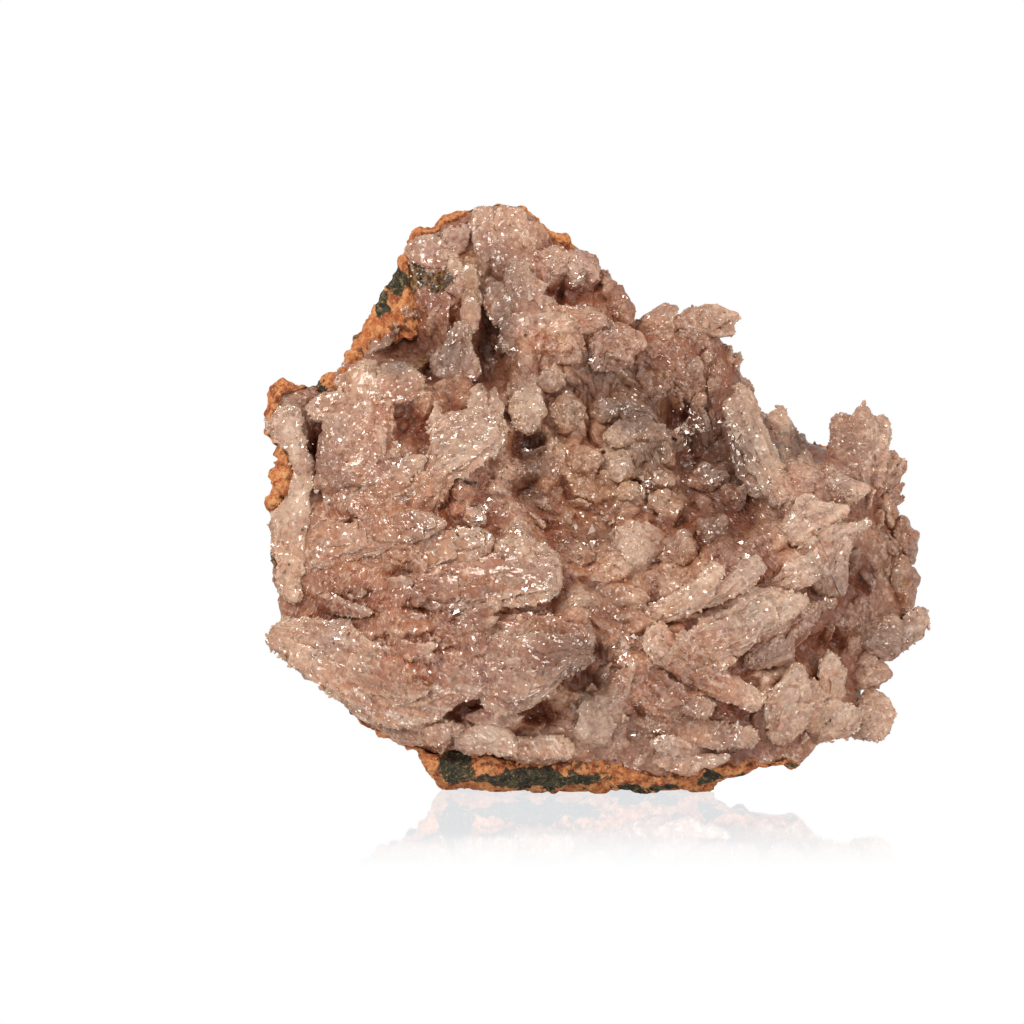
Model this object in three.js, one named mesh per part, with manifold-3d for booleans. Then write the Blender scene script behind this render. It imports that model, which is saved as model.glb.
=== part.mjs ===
// A hand specimen of drusy quartz: overlapping quartz blades, knobs and pockets that grew as one mass,
// held in a bowl-shaped rind of weathered green and orange host rock. It stands on the rind's flat foot.
// Millimetres, +Z up, the crystal face looks along -Y. The origin is under the middle of the specimen.
import * as THREE from "three";
import { mergeVertices } from "three/addons/utils/BufferGeometryUtils.js";
import Module from "manifold-3d";

// ---- Driving dimensions -------------------------------------------------------------------------
const CORE = [0, 40]; // x, z of the middle that the outline is measured from
const RIND_DEPTH = 3.4; // thickness of the rind at the back
const RIND_HIDDEN = 2.5; // its thickness where it stops behind the quartz
const RIND_INSET = 1.5; // how far it then lies inside the outline
const RIND_SETBACK = 7; // and how far behind the outline its edge is
const GAP = 0.3; // clearance between the quartz and the rind
const BACK_RINGS = [0, 0.05, 0.22, 0.42, 0.7]; // shares of the way from the rim to the back's middle
const FRONT_RINGS = [0.3, 0.52, 0.7, 0.84, 0.94, 1]; // shares from the face's middle to its rim
const BACK_POWER = 0.62; // lower values make a boxier back
const FRONT_POWER = 6; // higher values make a flatter face with a steeper rim
const FOOT_DIP = 11; // how far the underside is pulled down before it is levelled off at z = 0
const FOOT_REACH = 12; // height over which that pull fades out
const FOOT_MIDDLE = -3; // x of the middle of the foot
const FOOT_HALF = 13; // half width over which the pull is full
const FOOT_FADE = 9; // and how far beyond that it fades out
const BACK_ELLIPSE = [46, 42]; // half sizes that the outline melts into towards the middle of the back
const SEAT_Y = 1.54; // moves the specimen along Y, so that the origin is under its middle

// Outline, anticlockwise from the left end of the foot: x, z, depth y of the rim, and the width of
// rind that shows there (0 where quartz overhangs it).
const OUTLINE = [
  [-24.0, 2.4, -15, 4.6], [-19.0, 1.8, -17, 4.6], [-13.5, 0.9, -18, 4.6], [-9.5, 0.2, -18, 4.8],
  [-4.5, 1.4, -18, 3.4], [0.5, 2.0, -18, 2.8], [5.5, 1.1, -18, 3.2], [11.5, 0.7, -18, 2.2],
  [17.0, 2.2, -17, 1.8], [23.0, 2.8, -15, 1.6], [30.5, 4.4, -12, 1.0], [34.0, 7.6, -9, 0],
  [39.0, 10.5, -5, 0], [40.5, 15.5, -2, 0], [43.5, 19.8, 0, 0], [47.2, 25.0, 2, 0],
  [47.6, 31.0, 4, 0], [47.2, 36.5, 5, 0], [44.8, 41.0, 6, 0], [43.4, 46.0, 6, 0],
  [38.5, 50.0, 7, 0], [32.8, 51.6, 8, 0], [29.0, 54.2, 8, 0], [24.6, 57.0, 8, 0],
  [22.6, 61.5, 8, 0], [20.2, 66.2, 8, 0], [17.6, 69.8, 8, 0], [11.5, 70.4, 8, 0],
  [6.6, 70.2, 8, 0], [4.6, 72.6, 8, 0], [1.2, 76.0, 8, 0], [-0.9, 80.2, 7, 0],
  [-4.6, 82.6, 6, 1.8], [-7.6, 84.0, 6, 0.6], [-11.5, 86.9, 6, 0.4], [-18.0, 86.9, 5, 0.6],
  [-22.6, 86.2, 5, 2.0], [-24.2, 84.2, 4, 1.4], [-27.2, 83.9, 3, 1.8], [-29.0, 79.6, 2, 1.2],
  [-31.2, 75.4, 1, 7.5], [-34.0, 70.8, -1, 5.0], [-37.0, 67.0, -3, 2.6], [-39.4, 61.4, -5, 2.2],
  [-43.0, 60.2, -6, 1.6], [-45.6, 60.8, -7, 3.0], [-48.9, 59.4, -8, 2.4], [-48.8, 54.0, -9, 0.6],
  [-46.9, 49.8, -9, 1.4], [-47.6, 46.4, -10, 2.2], [-49.8, 42.0, -10, 1.8], [-48.9, 37.0, -10, 1.0],
  [-48.2, 32.4, -10, 0.8], [-46.6, 28.0, -11, 0], [-47.0, 23.0, -11, 0], [-44.0, 18.0, -12, 0],
  [-39.0, 14.6, -13, 0.4], [-34.0, 10.2, -14, 0.8], [-28.6, 7.0, -14, 1.2], [-25.0, 4.6, -15, 2.6],
];

// Smoothed relief of the quartz face: x, z, y at that place.
const FACE = [
  [-20, 8, -19], [0, 8, -20], [20, 8, -18], [33, 10, -12],
  [-42, 21, -15], [-25, 20, -23], [-8, 20, -26], [10, 20, -23], [25, 20, -18], [38, 20, -7],
  [-44, 34, -12], [-28, 33, -20], [-10, 34, -21], [5, 33, -17], [20, 31, -20], [34, 31, -13], [44, 32, -3],
  [-45, 48, -10], [-32, 48, -16], [-18, 48, -16], [-4, 46, -12], [6, 47, -9], [15, 50, -3], [27, 46, -14],
  [38, 45, -7], [-40, 58, -8], [-27, 58, -11], [-14, 57, -9], [0, 58, -4], [12, 58, 0], [24, 57, -2],
  [-30, 70, -4], [-20, 68, -6], [-8, 68, -7], [5, 67, -5], [15, 67, -1], [-25, 80, 0], [-14, 81, -1],
  [-3, 79, 1],
];
const FACE_BLUR = 6.5;

// Smoothed relief of the back of the rind: x, z, y.
const BACK = [
  [0, 8, 25], [-22, 10, 21], [22, 10, 21], [0, 30, 29], [-26, 30, 23], [26, 30, 21], [44, 32, 14],
  [-44, 40, 10], [0, 50, 27], [-26, 52, 19], [26, 50, 18], [-8, 70, 19], [10, 66, 18], [-24, 72, 14],
  [-14, 82, 14],
];
const BACK_BLUR = 12;

// Blades and plates of quartz: root x, root z, tip x, tip z, width, thickness, height of the root and
// of the tip above the face, roll about the blade's own length in degrees, and width share at the tip.
const BLADES = [
  // chalcedony slabs along the left rim
  [-46.0, 58.0, -44.0, 46.0, 4.4, 3.6, 0.3, 0.8, 0, 0.8],
  [-43.6, 47.0, -47.2, 37.5, 3.6, 3.0, 0.2, 0.4, 10, 0.6],
  [-46.2, 39.0, -45.2, 29.0, 3.2, 2.6, -0.3, 0.2, 15, 0.6],
  // long feather of blades left of the middle
  [-33, 40, -17.3, 60.3, 5.0, 2.2, 0, 5.5, -10, 0.25], [-28, 42, -14.4, 58.6, 3.6, 1.8, 0.5, 5.0, 15, 0.3],
  [-31, 39, -13.4, 54.2, 5.2, 2.4, 0.5, 5.5, -5, 0.35], [-36, 41, -19, 52, 5.0, 2.6, 0, 4.0, -15, 0.5],
  // scalloped plates up the left side
  [-34, 55.5, -42.3, 56.8, 4.4, 2.6, -0.6, 1.6, 20, 0.6],
  [-30, 54, -31.8, 63.6, 5.0, 2.0, -0.5, 2.2, 10, 0.6],
  [-27.5, 53, -28.3, 63.2, 4.6, 2.0, -0.5, 2.6, -10, 0.6],
  [-23, 60.5, -19.3, 71.0, 5.0, 3.0, 0, 3.5, 20, 0.5],
  [-21.5, 73.5, -21.2, 79.6, 2.6, 2.2, 0.5, 3.0, 0, 0.5], [-20, 60, -16.2, 66.0, 4.0, 2.4, 0, 3.0, 25, 0.4],
  // crown
  [-24.5, 77, -25.5, 82.5, 3.6, 2.2, 0, 2.0, 20, 0.5], [-22.5, 79, -22.8, 84.0, 3.0, 2.0, 0, 1.8, -15, 0.5],
  [-17.5, 79, -17.8, 86.3, 3.6, 2.2, 0, 2.0, 10, 0.6], [-14, 79, -13.6, 86.6, 4.4, 2.6, 0, 2.2, -5, 0.6],
  [-10, 79, -9.2, 84.8, 3.8, 2.2, 0, 1.6, -20, 0.5], [-12, 74, -11, 78.8, 3.6, 2.0, 0, 3.2, -10, 0.5],
  // upper middle
  [-6, 62.5, -9.5, 71.2, 6.5, 3.0, 0, 2.5, 5, 0.6], [-3, 63, -4.0, 71.5, 5.5, 3.0, 0, 2.2, -10, 0.6],
  [2, 63, 1.0, 70.5, 4.5, 2.6, 0, 1.8, 5, 0.6], [11, 63, 10.3, 71.2, 3.6, 2.2, 0, 1.4, 10, 0.5],
  [14, 64, 15.6, 72.0, 4.0, 2.4, 0, 2.2, -10, 0.5], [16.5, 65, 19.0, 71.6, 3.6, 2.2, 0, 2.0, 10, 0.4],
  [17, 66, 21.2, 70.0, 2.8, 1.8, 0, 1.6, 20, 0.25], [14, 58, 15.5, 64.5, 3.6, 2.0, 0, 2.0, 10, 0.5],
  // tall pointed pair on the right and the scallops round the smooth knob
  [30, 41.5, 21.5, 60.0, 4.8, 2.4, 0.5, 5.5, 25, 0.15], [32, 41, 27.7, 56.6, 4.2, 2.2, 0.5, 3.5, -10, 0.35],
  [27, 42, 20.0, 57.4, 3.0, 1.6, 0, 4.2, 55, 0.2], [31.5, 44, 32.4, 49.0, 3.0, 1.8, 0, 2.2, 15, 0.5],
  [34, 43, 35.2, 48.4, 3.4, 1.6, 0, 2.0, 10, 0.6], [39.5, 41.5, 41.6, 44.8, 3.0, 1.5, 0, 1.8, -25, 0.6],
  // arm at the upper right
  [37, 44, 37.6, 55.6, 5.0, 3.4, 0, 1.5, 0, 0.7], [39, 44, 40.6, 57.3, 4.8, 3.4, 0, 1.8, 0, 0.7],
  [41, 44, 43.6, 55.8, 3.6, 2.8, 0, 1.2, 10, 0.7], [41, 42, 45.3, 50.0, 3.4, 2.4, 0, 0.8, -10, 0.5],
  [42, 41, 46.7, 45.4, 2.8, 2.0, 0, 0.6, 10, 0.3],
  // fan of blades on the right
  [28, 37, 35.5, 42.4, 5.0, 2.4, 1, 3.6, 10, 0.55], [31, 34, 40.4, 40.0, 3.2, 1.8, 1, 4.0, 20, 0.3],
  [21, 29.5, 32.8, 36.2, 3.4, 2.0, 1, 4.2, 15, 0.35], [26, 30, 36.0, 33.4, 3.4, 1.8, 0.5, 3.2, -20, 0.35],
  [10, 28, 24.4, 35.6, 3.4, 2.2, 1.5, 5.0, 10, 0.4], [7, 26.5, 17.7, 34.6, 4.2, 2.2, 1, 4.5, -15, 0.25],
  [9, 23, 31.3, 29.6, 5.2, 2.6, 1.5, 6.0, 5, 0.4], [27, 27.3, 35.6, 28.6, 2.0, 1.2, 1.5, 3.2, 30, 0.1],
  [20, 20.5, 33.4, 28.2, 4.2, 2.0, 0.5, 4.0, -15, 0.35], [5, 21, 23.0, 22.9, 5.6, 2.4, 1, 5.2, 5, 0.45],
  [8, 17.5, 21.6, 20.6, 4.6, 2.2, 1, 4.4, -10, 0.4],
  // fan at the lower right, its end knob and the far right edge
  [27, 6.5, 29.8, 19.9, 5.6, 2.4, 0.5, 4.2, -20, 0.4], [29, 7, 31.9, 17.0, 4.0, 2.0, 0.5, 3.4, -40, 0.4],
  [24, 7, 26.5, 16.5, 4.0, 2.2, 0.5, 3.6, 15, 0.45], [35.5, 9, 33.2, 21.2, 3.6, 2.0, 0.5, 3.4, 20, 0.35],
  [31.5, 8.5, 39.2, 13.2, 4.0, 2.2, 0.8, 3.2, -10, 0.5], [36, 10.0, 44.0, 10.6, 5.8, 3.0, 0, 1.6, 5, 0.75],
  [38, 10, 42.6, 14.2, 3.4, 2.0, 0, 1.6, -10, 0.6], [40, 18.5, 49.8, 25.8, 3.4, 2.0, 0, 1.4, -15, 0.4],
  [44.8, 36.5, 45.2, 30.0, 2.2, 1.6, 0.8, 1.4, 20, 0.6],
  [45.0, 31.5, 46.8, 25.6, 2.2, 1.6, 0.8, 1.0, 20, 0.5],
  // long swept plates on the lower left
  [-45, 34, -30, 41.0, 6.0, 2.2, 0, 2.5, 10, 0.5], [-42, 31, -24, 37.0, 6.0, 2.4, 0.5, 3.4, -15, 0.5],
  [-36, 33, -15, 39.6, 5.5, 2.2, 0.5, 3.6, 5, 0.5], [-32, 27, -4.6, 34.0, 8.5, 2.8, 0, 5.0, 10, 0.6],
  [-16, 12.5, -49.0, 23.2, 8.5, 2.8, 1.5, 1.0, 15, 0.25],
  [-24, 17, -45.5, 25.0, 5.5, 2.0, 1.0, 1.2, -15, 0.4], [-20, 9.5, -39, 16.5, 5.0, 2.4, 1.0, 1.0, 20, 0.4],
  [-20, 27, -2.5, 24.5, 6.0, 2.4, 0, 4.0, 15, 0.5], [-30, 25.5, -1.0, 19.8, 8.0, 2.6, 0, 5.5, 10, 0.4],
  [-28, 22, -7, 16.0, 7.5, 2.6, 0.5, 5.2, 0, 0.5], [-29, 19, -14, 13.6, 6.5, 2.6, 0.5, 4.6, -10, 0.5],
  // lower middle
  [-1.5, 6.5, 1.2, 14.8, 5.4, 2.4, 0.5, 3.2, 10, 0.6], [1, 12.5, 5.5, 21.0, 4.5, 2.2, 0.5, 3.6, -15, 0.4],
  [4, 18, 10.0, 26.0, 5.0, 2.4, 0.5, 4.2, 10, 0.5], [24, 9, 11.0, 16.6, 4.2, 2.2, 1, 3.4, 10, 0.4],
  [26, 7.5, 16.0, 13.2, 4.0, 2.0, 1, 3.0, -15, 0.4], [20, 6.2, 7.5, 8.2, 4.0, 2.4, 0.5, 2.2, 5, 0.5],
  [6, 5.6, 19.0, 6.0, 3.2, 2.4, 0.5, 2.4, 10, 0.5], [-23, 9.0, -9.0, 9.4, 4.2, 2.8, 0.5, 2.4, 0, 0.6],
];

// Rounded knobs: x, z, height of the centre above the face, and half sizes along X, Y and Z.
const KNOBS = [
  [-36.5, 51, 0.5, 5.2, 4.0, 6.5], [-38, 46.5, 0, 3.0, 2.5, 3.0], [-33.5, 54.5, 0.5, 3.5, 3.0, 4.0],
  [-34, 62, 0.4, 2.6, 2.2, 2.4], [-27.4, 71.2, 0.6, 2.0, 1.8, 1.8], [-19, 76.9, 1.2, 1.8, 1.8, 2.6],
  [-18.4, 72, 1.4, 1.4, 1.6, 2.6], [-6, 78.6, 1.6, 4.2, 3.4, 2.6], [-1.9, 77, 1.2, 2.6, 3.0, 3.4],
  [1.2, 74.6, 0.2, 2.2, 3.0, 2.8], [3.6, 71.4, 0.2, 2.4, 3.0, 3.2], [-11.5, 67.8, 1.2, 3.2, 2.6, 3.4],
  [-6.2, 67.6, 1.6, 4.2, 3.0, 3.8], [-2, 70.4, 0.8, 3.0, 2.4, 2.0], [3.2, 66.3, 0.8, 4.2, 3.0, 3.8],
  [16.2, 69.2, 0.8, 4.2, 3.0, 2.6], [-6.6, 61.4, 1.4, 1.9, 1.8, 2.0], [-10.3, 57.2, 2.6, 2.4, 2.6, 3.6],
  // stalactite heads inside the pocket
  [-5, 55.9, 1.4, 3.2, 3.0, 3.2], [7.2, 53, 2.0, 4.0, 3.0, 2.4], [3.2, 48.7, 2.4, 2.6, 2.8, 2.7],
  [-2.6, 49.2, 1.8, 3.2, 2.6, 2.2], [9.6, 46.2, 2.2, 2.6, 2.6, 2.2], [10.4, 42.4, 2.6, 2.2, 2.6, 2.3],
  [5.4, 36.5, 2.2, 3.7, 3.4, 3.7], [12.4, 35.8, 2.0, 3.0, 3.0, 3.0], [17, 38.5, 1.6, 2.4, 2.6, 2.7],
  [1.5, 33.3, 1.6, 2.4, 2.2, 2.2], [-2.4, 28.4, 2.8, 2.3, 2.2, 2.2], [4.6, 28.8, 2.4, 2.7, 2.4, 2.6],
  [17, 46.2, 1.2, 3.2, 2.4, 2.2],
  // smooth knobs on the right
  [36, 44.6, 1.2, 4.2, 2.6, 2.7], [41, 22.6, 1.0, 5.2, 4.0, 3.2], [40, 17.6, 1.0, 2.9, 3.4, 2.9],
  [46.4, 36.4, 0, 2.1, 3.5, 3.1], [46.2, 30.2, 0, 2.2, 3.5, 4.0],
  // small knobs on the left
  [-11.6, 39.6, 2.0, 1.6, 1.5, 1.7],
];

// Pockets sunk into the face: x, z, half sizes along X and Z, and depth.
const POCKETS = [
  [-28, 66.6, 4.0, 2.2, 7.0], [-15.8, 66, 2.0, 5.0, 9.0], [-41.4, 49.5, 1.3, 4.0, 5.0],
  [-27.5, 55.5, 3.0, 3.2, 2.5], [-4.5, 74.2, 4.2, 1.8, 4.5], [12.6, 55.5, 3.0, 3.6, 6.0],
  [15, 50.5, 4.0, 4.0, 5.0], [-10.2, 51.5, 2.2, 1.8, 5.0], [-7.2, 38.6, 2.4, 1.6, 4.0],
  [21, 40.8, 2.6, 2.2, 5.0], [-20.2, 12.8, 3.4, 1.3, 6.0], [-8.6, 11.6, 3.0, 1.6, 7.0],
  [-2.6, 17.6, 3.6, 1.4, 4.0], [25.5, 20.6, 3.4, 2.0, 3.0], [38.5, 31.5, 2.4, 4.2, 3.5],
];

// ---- Shared relief functions --------------------------------------------------------------------
const TAU = 2 * Math.PI;

// Mean of the table's y values, each weighted by a bell curve of its distance to (x, z).
function blurred(table, blur, x, z) {
  let sum = 0;
  let weight = 1e-9;
  for (const [px, pz, py] of table) {
    const w = Math.exp(-((x - px) ** 2 + (z - pz) ** 2) / (2 * blur * blur));
    sum += w * py;
    weight += w;
  }
  return sum / weight;
}

// A fixed roughness from crossed sine waves, between about -1 and 1, for one wavelength.
function roughness(x, y, z, wavelength) {
  const k = TAU / wavelength;
  const a = Math.sin(k * (x + 0.37 * z) + 1.3) * Math.sin(k * (z - 0.41 * y) + 0.7);
  const b = Math.sin(k * 1.7 * (y + 0.29 * x) + 2.1) * Math.sin(k * 1.9 * (z + 0.33 * x) + 4.2);
  return 0.6 * a + 0.4 * b;
}

// Moves an outline point towards the core by a distance.
function inset(x, z, distance) {
  const reach = Math.hypot(x - CORE[0], z - CORE[1]);
  const share = (reach - distance) / reach;
  return [CORE[0] + (x - CORE[0]) * share, CORE[1] + (z - CORE[1]) * share];
}

// The quartz's rim at an outline row: x, y, z.
function quartzRim([x, z, y, band]) {
  const [qx, qz] = inset(x, z, band > 0.2 ? band + GAP : 0);
  return [qx, y, qz];
}

// The rind's outer and inner rim at an outline row.
function rindRims([x, z, y, band]) {
  const shows = Math.min(1, band / 0.5);
  const back = RIND_SETBACK * (1 - shows);
  const width = Math.max(0.5, band * shows + RIND_HIDDEN * (1 - shows));
  const outer = inset(x, z, RIND_INSET * (1 - shows));
  const inner = inset(x, z, RIND_INSET * (1 - shows) + width);
  return { outer: [outer[0], y + back, outer[1]], inner: [inner[0], y + back - 0.4, inner[1]] };
}

// Height of the quartz face at a share rho of the way from the core to its rim.
function faceY(x, z, rimY, rho) {
  const rise = Math.sqrt(Math.max(0, 1 - rho ** FRONT_POWER));
  return rimY + (blurred(FACE, FACE_BLUR, x, z) - rimY) * rise;
}

// Face height at any x, z, from the rim point that lies nearest in direction.
function faceAt(x, z) {
  const angle = Math.atan2(z - CORE[1], x - CORE[0]);
  const turnTo = (rim) => {
    const turn = Math.abs(Math.atan2(rim[2] - CORE[1], rim[0] - CORE[0]) - angle);
    return Math.min(turn, TAU - turn);
  };
  const rim = OUTLINE.map(quartzRim).reduce((a, b) => (turnTo(a) < turnTo(b) ? a : b));
  const reach = Math.hypot(rim[0] - CORE[0], rim[2] - CORE[1]);
  return faceY(x, z, rim[1], Math.min(1, Math.hypot(x - CORE[0], z - CORE[1]) / reach));
}

// ---- Closed surfaces from rings -----------------------------------------------------------------
// Rings of equal length joined by quads, with a point at each end. Ring order and direction give
// faces that point outwards.
function closedRings(first, rings, last) {
  const n = rings[0].length;
  const points = [first, ...rings.flat(), last];
  const index = [];
  const at = (row, i) => 1 + row * n + (((i % n) + n) % n);
  for (let i = 0; i < n; i++) {
    index.push(0, at(0, i + 1), at(0, i));
    index.push(points.length - 1, at(rings.length - 1, i), at(rings.length - 1, i + 1));
    for (let r = 0; r + 1 < rings.length; r++) {
      index.push(at(r, i), at(r, i + 1), at(r + 1, i + 1));
      index.push(at(r, i), at(r + 1, i + 1), at(r + 1, i));
    }
  }
  const geometry = new THREE.BufferGeometry();
  geometry.setAttribute("position", new THREE.Float32BufferAttribute(points.flat(), 3));
  geometry.setIndex(index);
  return geometry;
}

// Levels the underside: points low down under the middle are pulled down, then none lies below z = 0.
function levelled([x, y, z], share) {
  const low = Math.max(0, 1 - Math.max(0, z - 1) / FOOT_REACH);
  const beside = Math.max(0, Math.abs(x - FOOT_MIDDLE) - FOOT_HALF);
  const under = Math.max(0, 1 - beside / FOOT_FADE);
  return [x, y, Math.max(0, z - FOOT_DIP * low * under * Math.min(1, share * 25))];
}

// A point of a back surface: share runs from 0 at the rim to 1 at the middle of the back. The rim's
// shape melts into an ellipse, drawn in where the rim is nearer to the core than the ellipse is.
function backPoint(rim, share, depthLoss) {
  const s = (Math.PI / 2) * (1 - share);
  const angle = Math.atan2(rim[2] - CORE[1], rim[0] - CORE[0]);
  const melt = Math.min(1, 1.4 * share);
  const rho = Math.sin(s) ** BACK_POWER;
  const oval = [BACK_ELLIPSE[0] * Math.cos(angle), BACK_ELLIPSE[1] * Math.sin(angle)];
  const reach = Math.hypot(rim[0] - CORE[0], rim[2] - CORE[1]);
  const drawnIn = Math.min(1, reach / Math.hypot(...oval));
  const dx = (1 - melt) * (rim[0] - CORE[0]) + melt * drawnIn * oval[0];
  const dz = (1 - melt) * (rim[2] - CORE[1]) + melt * drawnIn * oval[1];
  const x = CORE[0] + dx * rho;
  const z = CORE[1] + dz * rho;
  const depth = blurred(BACK, BACK_BLUR, x, z) - depthLoss - rim[1];
  return [x, rim[1] + depth * Math.cos(s) ** BACK_POWER, z];
}

// A point of the quartz face at a share rho of the way from the core to a rim point.
function facePoint(rim, rho) {
  const x = CORE[0] + (rim[0] - CORE[0]) * rho;
  const z = CORE[1] + (rim[2] - CORE[1]) * rho;
  const y = faceY(x, z, rim[1], rho);
  const fade = rho < 1 ? Math.min(1, 1.6 * rho) : 0;
  return [x, y - fade * (0.9 * roughness(x, y, z, 11) + 0.5 * roughness(z, x, y, 6)), z];
}

// Quartz mass: the relief of the face in front, a plain back that the rind covers.
function quartzMass() {
  const depthLoss = RIND_DEPTH + 3 * GAP;
  const rims = OUTLINE.map(quartzRim);
  const front = FRONT_RINGS.map((rho) => rims.map((rim) => facePoint(rim, rho)));
  const back = BACK_RINGS.slice(1).map((share) => rims.map((rim) => backPoint(rim, share, depthLoss)));
  const tail = backPoint(rims[0], 1, depthLoss);
  return closedRings(facePoint(rims[0], 0), [...front, ...back], tail);
}

// A point of the rind's outer surface, with the lumps of weathered rock.
function rockPoint(rim, share) {
  const [x, y, z] = backPoint(rim, share, 0);
  const lump = share > 0 ? 0.8 * roughness(x, y, z, 17) + 0.5 * roughness(z, x, y, 9) : 0;
  const swell = 1 + lump / 60;
  const lumpy = [CORE[0] + (x - CORE[0]) * swell, y + lump * share, CORE[1] + (z - CORE[1]) * swell];
  return levelled(lumpy, share);
}

// Rind: a bowl from the middle of its inner surface over the lip to the middle of its outer surface.
// grow thickens the inner side, which gives the cutter that keeps the quartz clear of it.
function rind(grow) {
  const rims = OUTLINE.map(rindRims);
  const innerPoint = (rim, share) => {
    const [x, z] = inset(rim[0], rim[2], grow);
    const point = backPoint([x, rim[1] - grow, z], share, RIND_DEPTH + grow);
    return [point[0], point[1], Math.max(point[2], 1.6 + grow)];
  };
  const inner = BACK_RINGS.map((share) => rims.map((rim) => innerPoint(rim.inner, share)));
  const outer = BACK_RINGS.map((share) => rims.map((rim) => rockPoint(rim.outer, share)));
  const innerPole = innerPoint(rims[0].inner, 1);
  return closedRings(innerPole, [...inner.reverse(), ...outer], rockPoint(rims[0].outer, 1));
}

// A blade: flattened four-sided rings along its length, with a ridge down each face and a pointed tip.
function blade([x0, z0, x1, z1, width, thickness, lift0, lift1, roll, tipShare]) {
  const root = new THREE.Vector3(x0, faceAt(x0, z0) - lift0 + 1.2, z0);
  const tip = new THREE.Vector3(x1, faceAt(x1, z1) - lift1, z1);
  const along = tip.clone().sub(root).normalize();
  const normal = new THREE.Vector3(0, -1, 0).addScaledVector(along, along.y).normalize();
  normal.applyAxisAngle(along, THREE.MathUtils.degToRad(roll));
  const side = new THREE.Vector3().crossVectors(along, normal);
  const stations = [[0.4, 1, 1], [0.86, 0.4 + 0.6 * tipShare, 0.7]];
  const section = [[1, 0], [0.2, 1], [-1, 0], [0.2, -1]];
  const rings = stations.map(([t, w, h]) =>
    section.map(([s, n]) =>
      root.clone().lerp(tip, t)
        .addScaledVector(side, (s * w * width) / 2)
        .addScaledVector(normal, (n * h * thickness) / 2)
        .toArray(),
    ),
  );
  return closedRings(root.toArray(), rings, tip.toArray());
}

// A knob: a coarse ball stretched to its half sizes.
function knob([x, z, lift, rx, ry, rz]) {
  const ball = new THREE.IcosahedronGeometry(1, rx > 5 ? 1 : 0);
  ball.scale(rx, ry, rz);
  ball.rotateY(x + z);
  ball.translate(x, faceAt(x, z) - lift, z);
  return ball;
}

// A pocket's cutter: a coarse ball sunk to the pocket's depth.
function pocket([x, z, rx, rz, depth]) {
  const ball = new THREE.OctahedronGeometry(1, 0);
  ball.scale(rx * 1.3, depth * 1.2, rz * 1.3);
  ball.translate(x, faceAt(x, z), z);
  return ball;
}

// ---- Joining ------------------------------------------------------------------------------------
const wasm = await Module();
wasm.setup();

// A closed three.js geometry as a manifold solid.
function solid(geometry) {
  const plain = geometry.clone();
  plain.deleteAttribute("normal");
  plain.deleteAttribute("uv");
  const merged = mergeVertices(plain, 1e-4);
  const made = new wasm.Manifold(
    new wasm.Mesh({
      numProp: 3,
      vertProperties: merged.attributes.position.array,
      triVerts: new Uint32Array(merged.index.array),
    }),
  );
  if (made.volume() > 0) return made;
  merged.index.array.reverse();
  return solid(merged);
}

// The largest of a solid's separate bodies.
function largest(made) {
  return made.decompose().reduce((a, b) => (a.volume() > b.volume() ? a : b));
}

// A manifold solid as a named mesh, moved to the specimen's seat.
function named(name, made, material) {
  const { vertProperties, triVerts } = made.getMesh();
  const geometry = new THREE.BufferGeometry();
  geometry.setAttribute("position", new THREE.BufferAttribute(vertProperties, 3));
  geometry.setIndex(new THREE.BufferAttribute(triVerts, 1));
  const mesh = new THREE.Mesh(geometry, material);
  mesh.name = name;
  mesh.position.y = SEAT_Y;
  return mesh;
}

let quartz = solid(quartzMass());
for (const row of POCKETS) quartz = quartz.subtract(solid(pocket(row)));
for (const row of KNOBS) quartz = quartz.add(solid(knob(row)));
for (const row of BLADES) quartz = quartz.add(solid(blade(row)));
quartz = largest(quartz.subtract(solid(rind(GAP))));
const hostRock = solid(rind(0));

const quartzFinish = new THREE.MeshStandardMaterial({ color: "#c39c86", roughness: 0.3, metalness: 0 });
const rockFinish = new THREE.MeshStandardMaterial({ color: "#b9683a", roughness: 0.85, metalness: 0 });

const specimen = new THREE.Group();
specimen.add(named("quartz_growth", quartz, quartzFinish));
specimen.add(named("host_rock_rind", hostRock, rockFinish));

export default specimen;
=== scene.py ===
"""A hand specimen of drusy quartz: blades, knobs and sugary crystals on a bowl of weathered host rock.

The shapes are worked out in millimetres, x to the right, z up and the crystal face towards -y, and go
into the meshes in metres. Tables hold listed places, and everything between them is a formula.
"""

import bpy
import numpy as np
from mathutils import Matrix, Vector

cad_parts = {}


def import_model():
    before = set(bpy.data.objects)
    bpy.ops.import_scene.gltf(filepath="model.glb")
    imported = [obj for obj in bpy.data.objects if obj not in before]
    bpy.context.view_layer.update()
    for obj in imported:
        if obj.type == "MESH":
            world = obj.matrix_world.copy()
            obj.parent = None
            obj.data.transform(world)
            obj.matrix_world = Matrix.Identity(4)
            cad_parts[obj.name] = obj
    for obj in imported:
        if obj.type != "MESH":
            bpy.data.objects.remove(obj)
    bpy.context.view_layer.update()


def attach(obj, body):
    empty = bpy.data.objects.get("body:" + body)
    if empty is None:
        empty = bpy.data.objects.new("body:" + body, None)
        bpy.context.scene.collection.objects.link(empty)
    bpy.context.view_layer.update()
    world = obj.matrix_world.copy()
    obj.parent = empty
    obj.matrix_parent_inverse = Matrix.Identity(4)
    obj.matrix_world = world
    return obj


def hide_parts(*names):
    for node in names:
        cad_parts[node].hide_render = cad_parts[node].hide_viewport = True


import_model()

MM = 0.001
TAU = 2 * np.pi

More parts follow.
